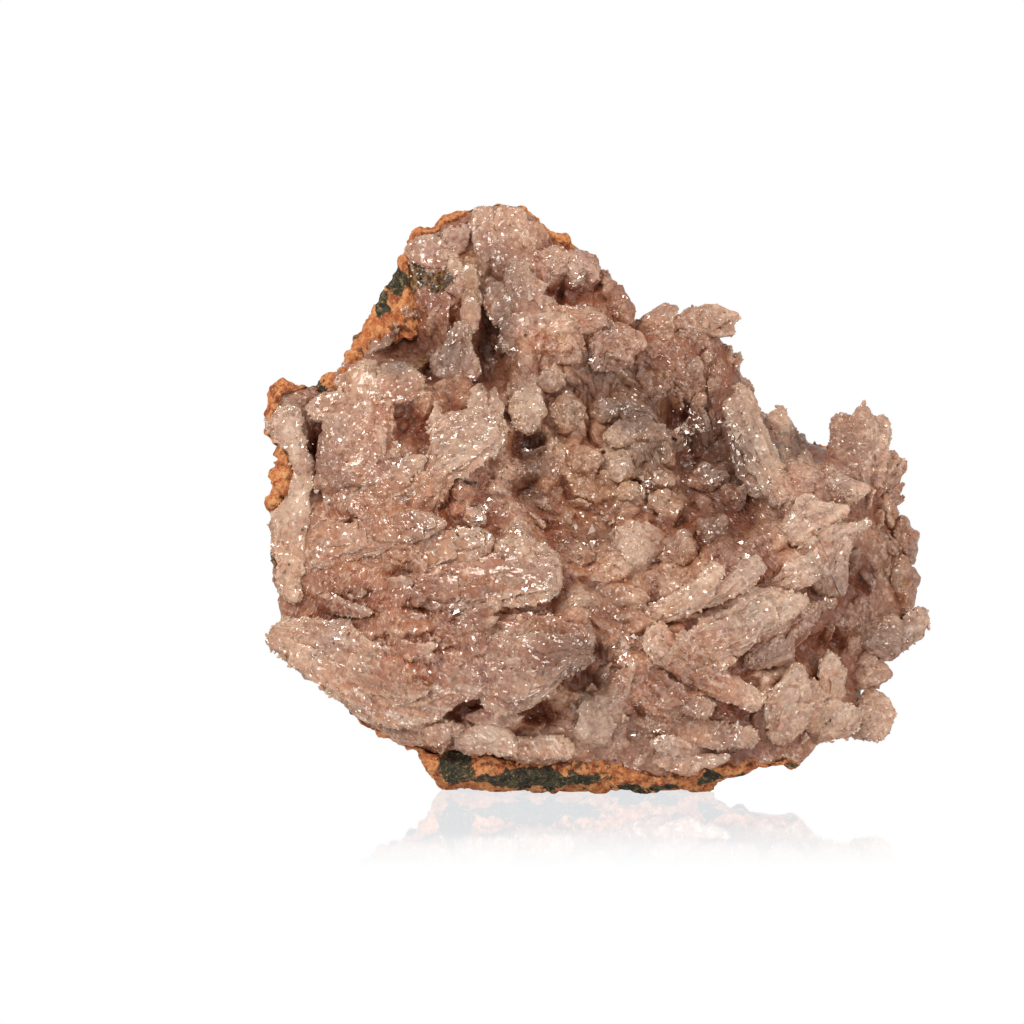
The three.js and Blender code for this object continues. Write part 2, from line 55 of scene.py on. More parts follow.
# ---- Driving dimensions ---------------------------------------------------------------------------
CORE = np.array([0.0, 40.0])  # x, z of the middle that the outline is measured from
SEAT_Y = 1.54  # shift along y that puts the specimen over its origin
RIND_DEPTH = 3.4  # thickness of the rind at the back
RIND_HIDDEN = 2.5  # its thickness where it stops behind the quartz
RIND_INSET = 1.5  # how far it then lies inside the rim
RIND_SETBACK = 7.0  # and how far behind the rim its edge is
RIND_FLOOR = 1.6  # lowest z of its inner side
RIND_TRIM = 0.45  # how far the rim is drawn in for the crust that is pushed out of it
BACK_POWER = 0.62  # lower values make a boxier back
FRONT_POWER = 6.0  # higher values make a flatter face with a steeper rim
FOOT_DIP = 11.0  # how far the underside is pulled down before it is levelled off at z = 0
FOOT_REACH = 12.0  # height over which that pull fades out
FOOT_MIDDLE, FOOT_HALF, FOOT_FADE = -3.0, 13.0, 9.0  # x of its middle, half its full width, its fade
BACK_ELLIPSE = (46.0, 42.0)  # half sizes that the rim melts into towards the middle of the back
FRONT_LIMIT = 16  # depth beyond which the stains of the front end

GRAIN = 0.32  # mesh spacing on the blades
MASS_HALF, RIND_HALF = 128, 112  # cells from the middle to the border of the two sheets
CRUST = {"mass": 1.0, "plates": 0.95, "small": 0.85, "rock": 0.9}  # sizes of the crystals in the crusts
PLATE_LUMPS, PLATE_CRUST = 0.12, 0.16  # how far lumps and the crust push a plate's surface out
BAND_CRUST = 0.03  # and how far the crust pushes the smooth bands on the left rim
KNOB_PUSH = (0.3, 0.24)  # the same two pushes for the knobs
ROCK_PUSH = (1.0, 0.5)  # and for the rock
COMPANION_SEED = 1000  # what sets the seed of a blade's companion apart
RIBS = 4  # most ribs on one ribbed plate
SMALL_PLATES, SIDE_PLATES = 170, 75  # how many stand on the face and on the side
SUGAR_TIPS, PRISMS, CLEAR_CRYSTALS = 26000, 2000, 1500  # how many crystals of each kind
SUGAR_SIZE, PRISM_SIZE, CLEAR_SIZE = 0.39, 0.45, 0.6  # and their middle sizes
TIP_SUNK, TIP_HIGH, TIP_WIDE = 0.28, 0.34, 0.75  # depth, height and reach of a three-sided point of size 1
TIP_SLOPE = np.arctan((TIP_SUNK + TIP_HIGH) / (TIP_WIDE / 2))  # from its axis to its faces' normals
FLASH = np.array([-0.257, -0.891, 0.374])  # direction that the parallel crystals' faces look in
# The height map's nooks are painted dark and what stands proud of it pale: painted shade and painted light.
SHELTER_REACH = 2.6  # blur of the height map that tells nooks from what stands proud

# Rim of the specimen, anticlockwise from the left end of the foot: x, z, depth y, and the width of
# rind that shows there.
RIM = np.array([
    (-24.0, 2.4, -15, 4.6), (-19.0, 1.8, -17, 4.6), (-13.5, 0.9, -18, 4.6), (-9.5, 0.2, -18, 4.8),
    (-4.5, 1.4, -18, 3.4), (0.5, 2.0, -18, 2.8), (5.5, 1.1, -18, 3.2), (11.5, 0.7, -18, 2.2),
    (17.0, 2.2, -17, 1.8), (23.0, 2.8, -15, 1.6), (30.5, 4.4, -12, 1.0), (34.0, 7.6, -9, 0),
    (39.0, 10.5, -5, 0), (40.5, 15.5, -2, 0), (43.5, 19.8, 0, 0), (47.2, 25.0, 2, 0),
    (47.6, 31.0, 4, 0), (47.2, 36.5, 5, 0), (44.8, 41.0, 6, 0), (43.4, 46.0, 6, 0),
    (38.5, 50.0, 7, 0), (32.8, 51.6, 8, 0), (29.0, 54.2, 8, 0), (24.6, 57.0, 8, 0),
    (22.6, 61.5, 8, 0), (20.2, 66.2, 8, 0), (17.6, 69.8, 8, 0), (11.5, 70.4, 8, 0),
    (6.6, 70.2, 8, 0), (4.6, 72.6, 8, 0), (1.2, 76.0, 8, 0), (-0.9, 80.2, 7, 0),
    (-4.6, 82.6, 6, 1.8), (-7.6, 84.0, 6, 0.6), (-11.5, 86.9, 6, 0.4), (-18.0, 86.9, 5, 0.6),
    (-22.6, 86.2, 5, 2.0), (-24.2, 84.2, 4, 1.4), (-27.2, 83.9, 3, 1.8), (-29.0, 79.6, 2, 1.2),
    (-31.2, 75.4, 1, 7.5), (-34.0, 70.8, -1, 5.0), (-37.0, 67.0, -3, 2.6), (-39.4, 61.4, -5, 2.2),
    (-43.0, 60.2, -6, 1.6), (-45.6, 60.8, -7, 3.0), (-48.9, 59.4, -8, 2.4), (-48.8, 54.0, -9, 0.6),
    (-46.9, 49.8, -9, 1.4), (-47.6, 46.4, -10, 2.2), (-49.8, 42.0, -10, 1.8), (-48.9, 37.0, -10, 1.0),
    (-48.2, 32.4, -10, 0.8), (-46.6, 28.0, -11, 0), (-47.0, 23.0, -11, 0), (-44.0, 18.0, -12, 0),
    (-39.0, 14.6, -13, 0.4), (-34.0, 10.2, -14, 0.8), (-28.6, 7.0, -14, 1.2), (-25.0, 4.6, -15, 2.6),
])

# Smoothed relief of the quartz face and of the back of the rind: x, z, y.
FACE = np.array([
    (-20, 8, -19), (0, 8, -20), (20, 8, -18), (33, 10, -12),
    (-42, 21, -15), (-25, 20, -23), (-8, 20, -26), (10, 20, -23), (25, 20, -18), (38, 20, -7),
    (-44, 34, -12), (-28, 33, -20), (-10, 34, -21), (5, 33, -17), (20, 31, -20), (34, 31, -13),
    (44, 32, -3), (-45, 48, -10), (-32, 48, -16), (-18, 48, -16), (-4, 46, -12), (6, 47, -9),
    (15, 50, -3), (27, 46, -14), (38, 45, -7), (-40, 58, -8), (-27, 58, -11), (-14, 57, -9),
    (0, 58, -4), (12, 58, 0), (24, 57, -2), (-30, 70, -4), (-20, 68, -6), (-8, 68, -7), (5, 67, -5),
    (15, 67, -1), (-25, 80, 0), (-14, 81, -1), (-3, 79, 1),
])
FACE_BLUR = 6.5
BACK = np.array([
    (0, 8, 25), (-22, 10, 21), (22, 10, 21), (0, 30, 29), (-26, 30, 23), (26, 30, 21), (44, 32, 14),
    (-44, 40, 10), (0, 50, 27), (-26, 52, 19), (26, 50, 18), (-8, 70, 19), (10, 66, 18),
    (-24, 72, 14), (-14, 82, 14),
])
BACK_BLUR = 12.0


# ---- Arrays and noise -------------------------------------------------------------------------------
def columns(*parts):
    """The parts side by side, along a new last axis."""
    return np.stack(parts, axis=-1)


def unit(vectors):
    """Vectors made one long."""
    return vectors / (np.linalg.norm(vectors, axis=-1, keepdims=True) + 1e-12)


def bell(x, z, table, reach):
    """Bell curve of the distance from each x, z to each row of the table."""
    return np.exp(-((x[..., None] - table[:, 0]) ** 2 + (z[..., None] - table[:, 1]) ** 2) / (2 * reach**2))


def lattice(cells, seed):
    """A number from 0 to 1 for each whole-number cell, from the bits of a multiplied mix."""
    mixed = (
        cells[..., 0] * 374761393 + cells[..., 1] * 668265263 + cells[..., 2] * 2147483647 + seed * 974634777
    )
    mixed = (mixed ^ (mixed >> 13)) * 1274126177
    mixed = mixed ^ (mixed >> 16)
    return (mixed & 0xFFFFFF) / float(0x1000000)


def noise(points, size, seed):
    """Smooth noise from -1 to 1: the corners of each cube hold random numbers, mixed by 3t2 - 2t3."""
    place = points / size
    cell = np.floor(place).astype(np.int64)
    t = place - cell
    t = t * t * (3 - 2 * t)
    total = np.zeros(points.shape[:-1])
    for corner in np.ndindex(2, 2, 2):
        weight = np.prod(np.where(np.array(corner) == 1, t, 1 - t), axis=-1)
        total += weight * lattice(cell + np.array(corner), seed)
    return 2 * total - 1


def rough(points, size, octaves, seed):
    """Sum of noises, each of half the size and 0.55 of the strength of the one before."""
    total = np.zeros(points.shape[:-1])
    for step in range(octaves):
        total += 0.55**step * noise(points, size / 2**step, seed + 17 * step)
    return total


def facets(points, size, seed):
    """Height of a crust of small pyramids: the highest of the pyramids whose tips lie in the eight
    nearest cells, where each falls away from its tip by the greatest of four turned directions."""
    place = points / size
    base = np.floor(place - 0.5).astype(np.int64)
    best = np.full(points.shape[:-1], -9.0)
    for corner in np.ndindex(2, 2, 2):
        cell = base + np.array(corner)
        jitter = columns(*(lattice(cell, seed + k) for k in (1, 2, 3)))
        away = place - (cell + 0.5 + 0.8 * (jitter - 0.5))
        turn = TAU * lattice(cell, seed + 4)
        lean = 2 * lattice(cell, seed + 5) - 1
        c, s = np.cos(turn), np.sin(turn)
        a = c * away[..., 0] + s * away[..., 2]
        b = -s * away[..., 0] + c * away[..., 2]
        d = away[..., 1] + 0.5 * lean * a
        fall = np.maximum(np.maximum(a, -0.5 * a + 0.87 * b), -0.5 * a - 0.87 * b) + 0.5 * np.abs(d)
        best = np.maximum(best, 0.9 * lattice(cell, seed + 6) - fall)
    return best


# ---- Relief of the specimen -------------------------------------------------------------------------
def blurred(table, blur, x, z):
    """Mean of the table's y, each row weighted by a bell curve of its distance to x, z."""
    near = bell(x, z, table, blur)
    return (near * table[:, 2]).sum(-1) / (near.sum(-1) + 1e-9)


def curve_at(rows, u):
    """Closed Catmull-Rom curve through the rows, at shares u of the way round them."""
    place = (u % 1) * len(rows)
    i = np.floor(place).astype(int)
    t = (place - i)[..., None]
    a, b, c, d = (rows[(i + k) % len(rows)] for k in (-1, 0, 1, 2))
    bend = 2 * a - 5 * b + 4 * c - d
    twist = -a + 3 * b - 3 * c + d
    return 0.5 * (2 * b + (c - a) * t + bend * t**2 + twist * t**3)


def rim_at(u):
    """Rim at shares u of its rows, all columns."""
    curve = curve_at(RIM, u)
    curve[..., 3] = np.maximum(curve[..., 3], 0)
    return curve


def wander(x, z, y, size, amount, seed):
    """Moves x and z about by noise."""
    here = columns(x, y, z)
    return x + amount * rough(here, size, 3, seed), z + amount * rough(here, size, 3, seed + 90)


def polar(x, z):
    """Distance and direction from the core."""
    return np.hypot(x - CORE[0], z - CORE[1]), np.arctan2(z - CORE[1], x - CORE[0])


def scaled(x, z, share):
    """Points at a share of their way from the core."""
    return CORE[0] + (x - CORE[0]) * share, CORE[1] + (z - CORE[1]) * share


def inset(x, z, distance):
    """Points moved towards the core by a distance."""
    reach = polar(x, z)[0]
    return scaled(x, z, (reach - distance) / reach)


def quartz_rim(u):
    """Rim of the quartz: the rim, drawn in by the rind that shows, less a hair so that the two meet."""
    x, z, y, band = np.moveaxis(rim_at(u), -1, 0)
    x, z = inset(x, z, np.where(band > 0.2, band - 0.3, 0))
    x, z = wander(x, z, y, 5.0, 0.5, 5)
    return x, y, z


def face_depth(x, z, rim_y, rho):
    """Depth of the face: the relief, falling to the rim's depth as the root of 1 - rho to a power."""
    rise = np.sqrt(np.maximum(0, 1 - rho**FRONT_POWER))
    return rim_y + (blurred(FACE, FACE_BLUR, x, z) - rim_y) * rise


RIM_U = np.linspace(0, 1, 720, endpoint=False)
RIM_X, RIM_Y, RIM_Z = quartz_rim(RIM_U)
RIM_REACH, RIM_ANGLE = polar(RIM_X, RIM_Z)


def rim_by(x, z):
    """Share of the way from the core to the rim, looked up by direction, and the depth of the rim there."""
    distance, angle = polar(x, z)
    rho = np.minimum(1, distance / np.interp(angle, RIM_ANGLE, RIM_REACH, period=TAU))
    return rho, np.interp(angle, RIM_ANGLE, RIM_Y, period=TAU)


def face_at(x, z):
    """Depth of the face at any x, z."""
    x, z = np.asarray(x, float), np.asarray(z, float)
    rho, rim_y = rim_by(x, z)
    return face_depth(x, z, rim_y, rho)


def back_point(x, y, z, share, depth_loss):
    """Back surface: rim points shrink towards the core and melt into an ellipse, drawn in where the rim
    is nearer, while the depth grows, by a sine and a cosine of the same quarter turn, each raised to
    the power that makes it boxy."""
    quarter = (np.pi / 2) * (1 - share)
    reach, angle = polar(x, z)
    melt = np.minimum(1, 1.4 * share)
    rho = np.sin(quarter) ** BACK_POWER
    oval_x, oval_z = BACK_ELLIPSE[0] * np.cos(angle), BACK_ELLIPSE[1] * np.sin(angle)
    drawn_in = np.minimum(1, reach / np.hypot(oval_x, oval_z))
    dx = (1 - melt) * (x - CORE[0]) + melt * drawn_in * oval_x
    dz = (1 - melt) * (z - CORE[1]) + melt * drawn_in * oval_z
    px, pz = CORE[0] + dx * rho, CORE[1] + dz * rho
    depth = blurred(BACK, BACK_BLUR, px, pz) - depth_loss - y
    return px, y + depth * np.cos(quarter) ** BACK_POWER, pz


# ---- Meshes from grids --------------------------------------------------------------------------------
def square_sheet(half):
    """A square grid laid over a disc: rho is the larger of the two distances from its middle, and u
    is the share of the way round the square through each point."""
    line = np.linspace(-1, 1, 2 * half + 1)
    a, b = np.meshgrid(line, line)
    rho = np.maximum(np.abs(a), np.abs(b))
    safe_a = np.where(a == 0, 1e-9, a)
    safe_b = np.where(b == 0, 1e-9, b)
    across = np.where(a >= 0, b / safe_a / 8, 0.5 + b / safe_a / 8)
    along = np.where(b >= 0, 0.25 - a / safe_b / 8, 0.75 - a / safe_b / 8)
    return rho, np.where(np.abs(a) >= np.abs(b), across, along) % 1


def border(half):
    """Numbers of the grid points along the sheet's border, in the order of u, and their u."""
    n = 2 * half + 1
    grid = np.arange(n * n).reshape(n, n)
    loop = np.concatenate([grid[half:, -1], grid[-1, -2::-1], grid[-2::-1, 0], grid[0, 1:], grid[1:half, -1]])
    return loop, np.arange(len(loop)) / len(loop)


def sheet_quads(half):
    """Quads of a square sheet."""
    n = 2 * half + 1
    grid = np.arange(n * n).reshape(n, n)
    return columns(grid[:-1, :-1], grid[:-1, 1:], grid[1:, 1:], grid[1:, :-1]).reshape(-1, 4)


def ring_quads(rings):
    """Quads between rings of point numbers, each ring closed on itself."""
    near, far = rings[:-1], rings[1:]
    return columns(near, np.roll(near, -1, 1), np.roll(far, -1, 1), far).reshape(-1, 4)


def fan(ring, tip):
    """Triangles from a ring of point numbers to a tip."""
    return columns(ring, np.roll(ring, -1), np.full(len(ring), tip), np.full(len(ring), -1))


def closed_sheet(front, half, rings):
    """Points and faces of a closed form: a square sheet, rings from its border on, and their mean."""
    size = rings[0].shape[0]
    points = np.concatenate([front.reshape(-1, 3), *rings, rings[-1].mean(0, keepdims=True)])
    first = (2 * half + 1) ** 2
    numbers = [border(half)[0]] + [first + k * size + np.arange(size) for k in range(len(rings))]
    tip = fan(numbers[-1], len(points) - 1)
    return points, np.concatenate([sheet_quads(half)[:, ::-1], ring_quads(np.array(numbers)), tip])


def tube(rings):
    """Points and faces of a closed form from rings (rows, around, 3): the ends close on their means."""
    rows, around = rings.shape[:2]
    points = np.concatenate([rings.reshape(-1, 3), rings[:1].mean(1), rings[-1:].mean(1)])
    grid = np.arange(rows * around).reshape(rows, around)
    start, end = fan(grid[0], grid.size)[:, [1, 0, 2, 3]], fan(grid[-1], grid.size + 1)
    return points, np.concatenate([ring_quads(grid), start, end])


def normals_of(points, faces):
    """Vertex normals: the sum of the normals of the faces round each point, made one long."""
    a, b, c = (points[faces[:, k]] for k in (0, 1, 2))
    face = np.cross(b - a, c - a)
    four = faces[:, 3] >= 0
    face[four] = np.cross(c[four] - a[four], points[faces[four, 3]] - b[four])
    total = np.zeros_like(points)
    for k in range(4):
        use = faces[:, k] >= 0
        for axis in range(3):
            total[:, axis] += np.bincount(faces[use, k], face[use, axis], len(points))
    return unit(total)


def volume(points, faces):
    """Signed volume of a closed form, positive where its faces point out."""
    a, b, c = (points[faces[:, k]] for k in (0, 1, 2))
    total = np.einsum("ij,ij->i", a, np.cross(b, c)).sum()
    four = faces[:, 3] >= 0
    d = points[faces[four, 3]]
    return (total + np.einsum("ij,ij->i", a[four], np.cross(c[four], d)).sum()) / 6


class Heap:
    """Collects closed forms and their painted numbers, pushes their crust out, and becomes one mesh."""

    total = 0
    counts = {}

    def __init__(self, name):
        self.name, self.points, self.faces, self.paint, self.count = name, [], [], [], 0

    def add(self, points, faces, lumps, crust, **paint):
        """Adds a closed form, turned the right way out, with one number or one for each point as paint."""
        if volume(points, faces) < 0:
            four = faces[:, 3] >= 0
            faces = np.where(four[:, None], faces[:, ::-1], faces[:, [1, 0, 2, 3]])
        self.points.append(points)
        self.faces.append(np.where(faces < 0, -1, faces + self.count))
        paint.update(lumps=lumps, crust=crust)
        self.paint.append({k: np.broadcast_to(v, len(points)) for k, v in paint.items()})
        self.count += len(points)

    def settle(self, crust_size, seed):
        """Joins the forms and pushes every point out along its normal by lumps and crust."""
        self.points, self.faces = np.concatenate(self.points), np.concatenate(self.faces)
        self.paint = {k: np.concatenate([p[k] for p in self.paint]) for k in self.paint[0]}
        lumps, crust = self.paint.pop("lumps"), self.paint.pop("crust")
        if crust_size:
            self.points = encrusted(self.points, self.faces, lumps, crust, crust_size, seed)
        self.points[:, 2] = np.maximum(self.points[:, 2], 0)
        return self

    def build(self, material, node, slot):
        """Makes the mesh, in metres and over the origin, and hangs it on the part. Notes its foremost
        point and its count of triangles."""
        first = np.argmin(self.points[:, 1])
        Heap.counts["front " + self.name] = [round(float(v), 1) for v in self.points[first]]
        points = (self.points + (0, SEAT_Y, 0)) * MM
        sides = np.where(self.faces[:, 3] >= 0, 4, 3)
        corners = self.faces.ravel()
        corners = corners[corners >= 0]
        mesh = bpy.data.meshes.new(self.name)
        mesh.vertices.add(len(points))
        mesh.vertices.foreach_set("co", points.astype(np.float32).ravel())
        mesh.loops.add(len(corners))
        mesh.loops.foreach_set("vertex_index", corners.astype(np.int32))
        mesh.polygons.add(len(sides))
        mesh.polygons.foreach_set("loop_start", (np.cumsum(sides) - sides).astype(np.int32))
        mesh.update(calc_edges=True)
        paint = {**self.paint, **stains_and_painted_shading(self.points)}
        for key, values in paint.items():
            layer = mesh.attributes.new(key, "FLOAT", "POINT")
            layer.data.foreach_set("value", values.astype(np.float32))
        mesh.polygons.foreach_set("use_smooth", np.zeros(len(sides), bool))
        piece = bpy.data.objects.new(self.name, mesh)
        bpy.context.scene.collection.objects.link(piece)
        piece.data.materials.append(material)
        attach(piece, "root")
        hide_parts(node)
        Heap.total += int((sides - 2).sum())
        Heap.counts[self.name] = int((sides - 2).sum())
        Heap.counts["total"] = Heap.total


# ---- Quartz forms -------------------------------------------------------------------------------------
# Plates whose outline is drawn as it looks from the front. Each has its root and its tip (x, z and
# height above the face), its thickness, its tone from 0 (brown) to 1 (cream), and its outline in x, z.
PLATES = {
    "left_hand": [
        ((-34, 42.5, -0.8), (-15.5, 55, 4.6), 2.2, 0.7, [
            (-15.9, 57.2), (-14, 55.2), (-13.7, 52.4), (-15, 50), (-18.3, 47.4), (-21, 46.4), (-22.6, 43),
            (-25, 39.4), (-30, 39.4), (-36, 41.5), (-36.5, 44), (-31, 46.2), (-26, 48), (-24.6, 51),
            (-24.6, 54), (-22, 55.8), (-18.6, 56.6),
        ]),
        ((-19, 52, 2.5), (-17.2, 60.4, 5.4), 1.8, 0.85, [
            (-17.3, 60.6), (-16.2, 59.6), (-16.1, 57.2), (-16.4, 54), (-17.6, 51.5), (-19.4, 53), (-19, 56.5),
            (-18.5, 59.4),
        ]),
        ((-17.5, 52, 2.5), (-14.7, 60, 5.0), 1.6, 0.8, [
            (-14.9, 60.1), (-14.3, 58.4), (-13.7, 57.4), (-14.3, 55.4), (-16, 52.5), (-17.5, 53), (-16.6, 56),
            (-15.8, 59),
        ]),
        ((-18, 51.5, 2.6), (-13.1, 54.1, 4.6), 1.6, 0.75, [
            (-13.1, 54.3), (-13.5, 52.8), (-14.4, 51.2), (-17.5, 50), (-18.5, 52), (-16.5, 54),
        ]),
        ((-24, 52, 1), (-23.7, 57.7, 3.2), 1.2, 0.7, [
            (-23.8, 57.8), (-22.9, 56.2), (-22.5, 54), (-24, 52), (-25, 54.5),
        ]),
    ],
    "left_mounds": [
        ((-35.5, 46, 0), (-36, 56, 0.4), 3.0, 0.45, [
            (-40.3, 52.6), (-38.7, 54.4), (-35.5, 56.5), (-32, 54), (-31.1, 49.8), (-32, 45.7), (-37.3, 45.6),
            (-40.2, 48.8),
        ]),
        ((-39.5, 55.2, 0.2), (-40, 59, 1.2), 2.2, 0.7, [
            (-42.8, 56.5), (-41.5, 58.6), (-38, 59.2), (-36.5, 57.5), (-38.4, 55.6), (-41, 54.8),
        ]),
        ((-35, 57, 0), (-34.5, 63, 1.2), 2.4, 0.85, [
            (-38.5, 60.8), (-35.5, 63), (-33.2, 62.8), (-31.6, 60), (-32.5, 57), (-36, 57.4),
        ]),
        ((-29.5, 57.5, 0), (-29.6, 63.4, 2.4), 2.0, 0.5, [
            (-31.8, 63.4), (-30.6, 62.6), (-29.3, 63.8), (-27.4, 63), (-25.6, 61), (-27, 58), (-31, 57.5),
            (-32.6, 60.5),
        ]),
    ],
    "left_rim_bands": [
        ((-46.4, 57.4, 0.3), (-45, 28.6, 0.2), 2.0, 0.9, [
            (-48.5, 56.6), (-48.3, 53.6), (-46.6, 51.2), (-45.5, 49.6), (-45.3, 46.6), (-46, 43.8),
            (-47.8, 41.4), (-48.4, 38.6), (-47.6, 35), (-47, 31), (-46, 28.4), (-43.8, 28.6), (-43.6, 32),
            (-43.4, 36), (-42.8, 39.4), (-42.4, 42), (-42.1, 45), (-41.9, 48.4), (-42.8, 51.4), (-43.6, 54),
            (-44.4, 57.2),
        ]),
        ((-37, 62, 0.2), (-30, 68.6, 0.8), 2.0, 0.75, [
            (-29.5, 68.6), (-30.6, 66.2), (-33.5, 64.2), (-35.6, 62.4), (-38.6, 61), (-37.4, 63.8),
            (-34.6, 66.4), (-32, 68.8), (-30.4, 70),
        ]),
    ],
    "left_sweeps": [
        ((-44, 36, -0.8), (-24, 40.5, 2.0), 2.0, 0.5, [
            (-22.5, 40.8), (-23.5, 38.6), (-30, 36.4), (-36, 34.6), (-43, 33), (-46, 35.5), (-43, 38.5),
            (-36, 40), (-29, 42),
        ]),
        ((-40, 31, -0.8), (-17, 38.6, 2.8), 2.0, 0.5, [
            (-15.5, 38.8), (-15.5, 36), (-20, 34.2), (-27, 32.4), (-34, 30.4), (-40, 29.6), (-41, 32.5),
            (-35, 35), (-28, 37.4), (-20, 39.6),
        ]),
        ((-30, 30, -0.8), (-5, 33, 4.4), 2.4, 0.6, [
            (-5, 32.6), (-5.4, 30.4), (-8, 28.6), (-15, 27.8), (-22, 27.6), (-29, 28.6), (-30, 31),
            (-25, 33.6), (-20, 35), (-14.6, 36.8), (-9.6, 37.6), (-6.2, 36),
        ]),
        ((-14.5, 36.2, 2.6), (-6, 36, 5.0), 1.4, 1.0, [
            (-5.6, 35.4), (-7.5, 37), (-10.5, 37.9), (-14.8, 37.1), (-14, 35.6), (-9, 35.8),
        ]),
        ((-26, 24, -0.8), (-1, 23, 2.4), 2.0, 0.3, [
            (-0.2, 22.6), (-1.5, 20.6), (-7, 20.8), (-14, 21.4), (-21, 22), (-27, 23), (-26, 26), (-20, 27.4),
            (-12, 27), (-5, 26.2), (-1, 25),
        ]),
        ((-18, 23, -0.5), (-5, 16.5, 3.6), 2.0, 0.6, [
            (-0.1, 20.8), (-2.5, 19.2), (-4.6, 17.9), (-6.8, 15.7), (-9.9, 13.8), (-13.1, 12.6),
            (-15.6, 12.9), (-17.2, 14.8), (-18.5, 18), (-18.6, 21), (-15, 23.6), (-9, 24.6), (-3, 23.6),
        ]),
        ((-17, 16, 1.2), (-48, 22.8, 0.8), 2.6, 0.6, [
            (-48.8, 22.7), (-46.9, 24.9), (-44, 25.8), (-36.8, 25.8), (-33.9, 23.9), (-29.8, 22.4),
            (-26.7, 21.1), (-20.3, 20.5), (-17.2, 19.2), (-15.6, 17.4), (-17.2, 15.1), (-20.3, 13.8),
            (-22.9, 12), (-26.7, 10.7), (-30, 10), (-33, 11), (-36.1, 12.9), (-39.3, 15), (-43.7, 18.3),
            (-47.5, 21),
        ]),
        ((-20, 11, 0.4), (-40, 15, 0.6), 2.2, 0.5, [
            (-40.4, 16), (-37.5, 16.4), (-30, 13.8), (-23, 11.8), (-19.5, 10.4), (-22, 8.6), (-28, 7.6),
            (-33.5, 10.6), (-38, 14.2),
        ]),
    ],
    "right_fan": [
        ((8, 26.5, 0.6), (18.2, 34.2, 4.8), 2.2, 0.9, [
            (17.6, 34.6), (19, 33.4), (18.2, 31.5), (16.9, 29.2), (13, 26.8), (8.5, 25.5), (7, 27.5),
            (9.5, 29.3), (12.7, 30.6), (15, 32.4),
        ]),
        ((14.5, 28, 1.4), (24.2, 35.2, 5.4), 2.2, 0.9, [
            (23.6, 35.7), (24.7, 34), (23.6, 31.8), (20.5, 30), (17, 28.2), (14.5, 27.4), (14.4, 29.5),
            (17, 31), (19.4, 33.2), (21.6, 35.3),
        ]),
        ((22, 30, 1.0), (32.8, 34.6, 4.6), 1.8, 0.75, [
            (31.6, 35.6), (33.3, 34.6), (32.9, 32.4), (31, 30.8), (27, 30.2), (22.5, 30), (22.5, 31),
            (25.4, 31.6), (28.3, 34),
        ]),
        ((30, 33, 0.6), (40, 39.2, 3.4), 2.0, 0.6, [
            (40.6, 40), (39.6, 38.4), (37.6, 37), (36.9, 34), (37.2, 31), (36.2, 29.5), (33, 29.8), (31, 32),
            (29.5, 34.5), (30, 37.5), (33, 39.5), (37, 39.8),
        ]),
        ((28, 38, 0.5), (37, 42, 3.4), 2.2, 0.8, [
            (37.4, 42.4), (36.6, 40.3), (33, 38.2), (29, 36.8), (27, 39), (28.5, 42), (31, 44), (34, 43.2),
        ]),
        ((13, 22.5, 1.0), (31, 29.2, 6.0), 2.4, 1.0, [
            (31.2, 29.3), (31, 28.2), (28, 26), (25, 24.3), (22.5, 21.7), (19, 20.5), (14, 21), (11.5, 23.5),
            (15.5, 26.5), (19.6, 28.2), (22.4, 30.7), (26, 30.4), (29.5, 30.2),
        ]),
        ((22.5, 20, 0.4), (35, 28.4, 3.8), 2.0, 0.35, [
            (35.4, 28.7), (33.2, 27), (31.5, 25), (29.3, 23.2), (29, 20.5), (25, 18.8), (21.6, 19),
            (22.4, 21.6), (26.5, 24.8), (30, 27), (32.2, 28.4),
        ]),
        ((12.5, 21, 0.4), (8.2, 25.6, 2.4), 1.6, 0.7, [
            (9.2, 26), (10.6, 25), (13, 23), (15.5, 21.6), (13, 20), (9, 19.8), (6.6, 21.8), (7, 24.6),
        ]),
    ],
    "lower_right": [
        ((27.5, 7.5, 0.2), (30, 19.2, 4.0), 2.4, 0.6, [
            (29.8, 19.6), (31, 17.6), (31.8, 15.5), (31.2, 12), (30, 9), (26.8, 7.5), (25, 10), (25, 14),
            (26.5, 17), (28, 18.8),
        ]),
        ((35.5, 12, 0.4), (34.5, 20.6, 3.4), 1.8, 0.6, [
            (34.6, 20.9), (36, 19.6), (36.9, 17), (36.6, 14), (34.5, 12.8), (33.3, 15), (33, 18.5),
            (33.6, 20.3),
        ]),
        ((33.5, 8.5, 0.5), (37.5, 13, 2.8), 2.0, 0.75, [
            (34.8, 14), (37, 13.2), (39.4, 12.2), (38.6, 9.5), (36, 8.2), (33, 8), (32, 10), (33, 12.6),
        ]),
        ((32, 9, 0.4), (32.4, 17, 2.6), 1.8, 0.5, [
            (32.2, 17.2), (33.6, 14.6), (33.8, 11), (32, 8.8), (30.6, 11), (30.9, 15),
        ]),
        ((38, 10, -0.2), (44, 11, 1.2), 3.0, 0.85, [
            (44.6, 11.5), (43.6, 13.4), (41.5, 14.4), (39.6, 13.2), (38.2, 10.5), (39.6, 7.8), (41.5, 6.9),
            (43.2, 7.6), (44.2, 9.6),
        ]),
        ((42, 20, -0.3), (49.8, 25.2, 1.2), 2.0, 0.85, [
            (50, 25.4), (49, 23), (46.4, 20.8), (43, 19.4), (41.4, 20.6), (43.4, 22.6), (45.4, 24.4),
            (47, 26.2), (48.8, 26.9),
        ]),
    ],
    "lower_middle": [
        ((-18.5, 11.8, 0.4), (-11, 12, 2.4), 1.2, 0.4, [
            (-10.9, 12.1), (-13, 10.9), (-17.5, 10.9), (-19.5, 11.8), (-16, 13), (-12.5, 12.8),
        ]),
        ((-20, 8, 0.2), (-13, 9, 1.2), 2.0, 0.8, [
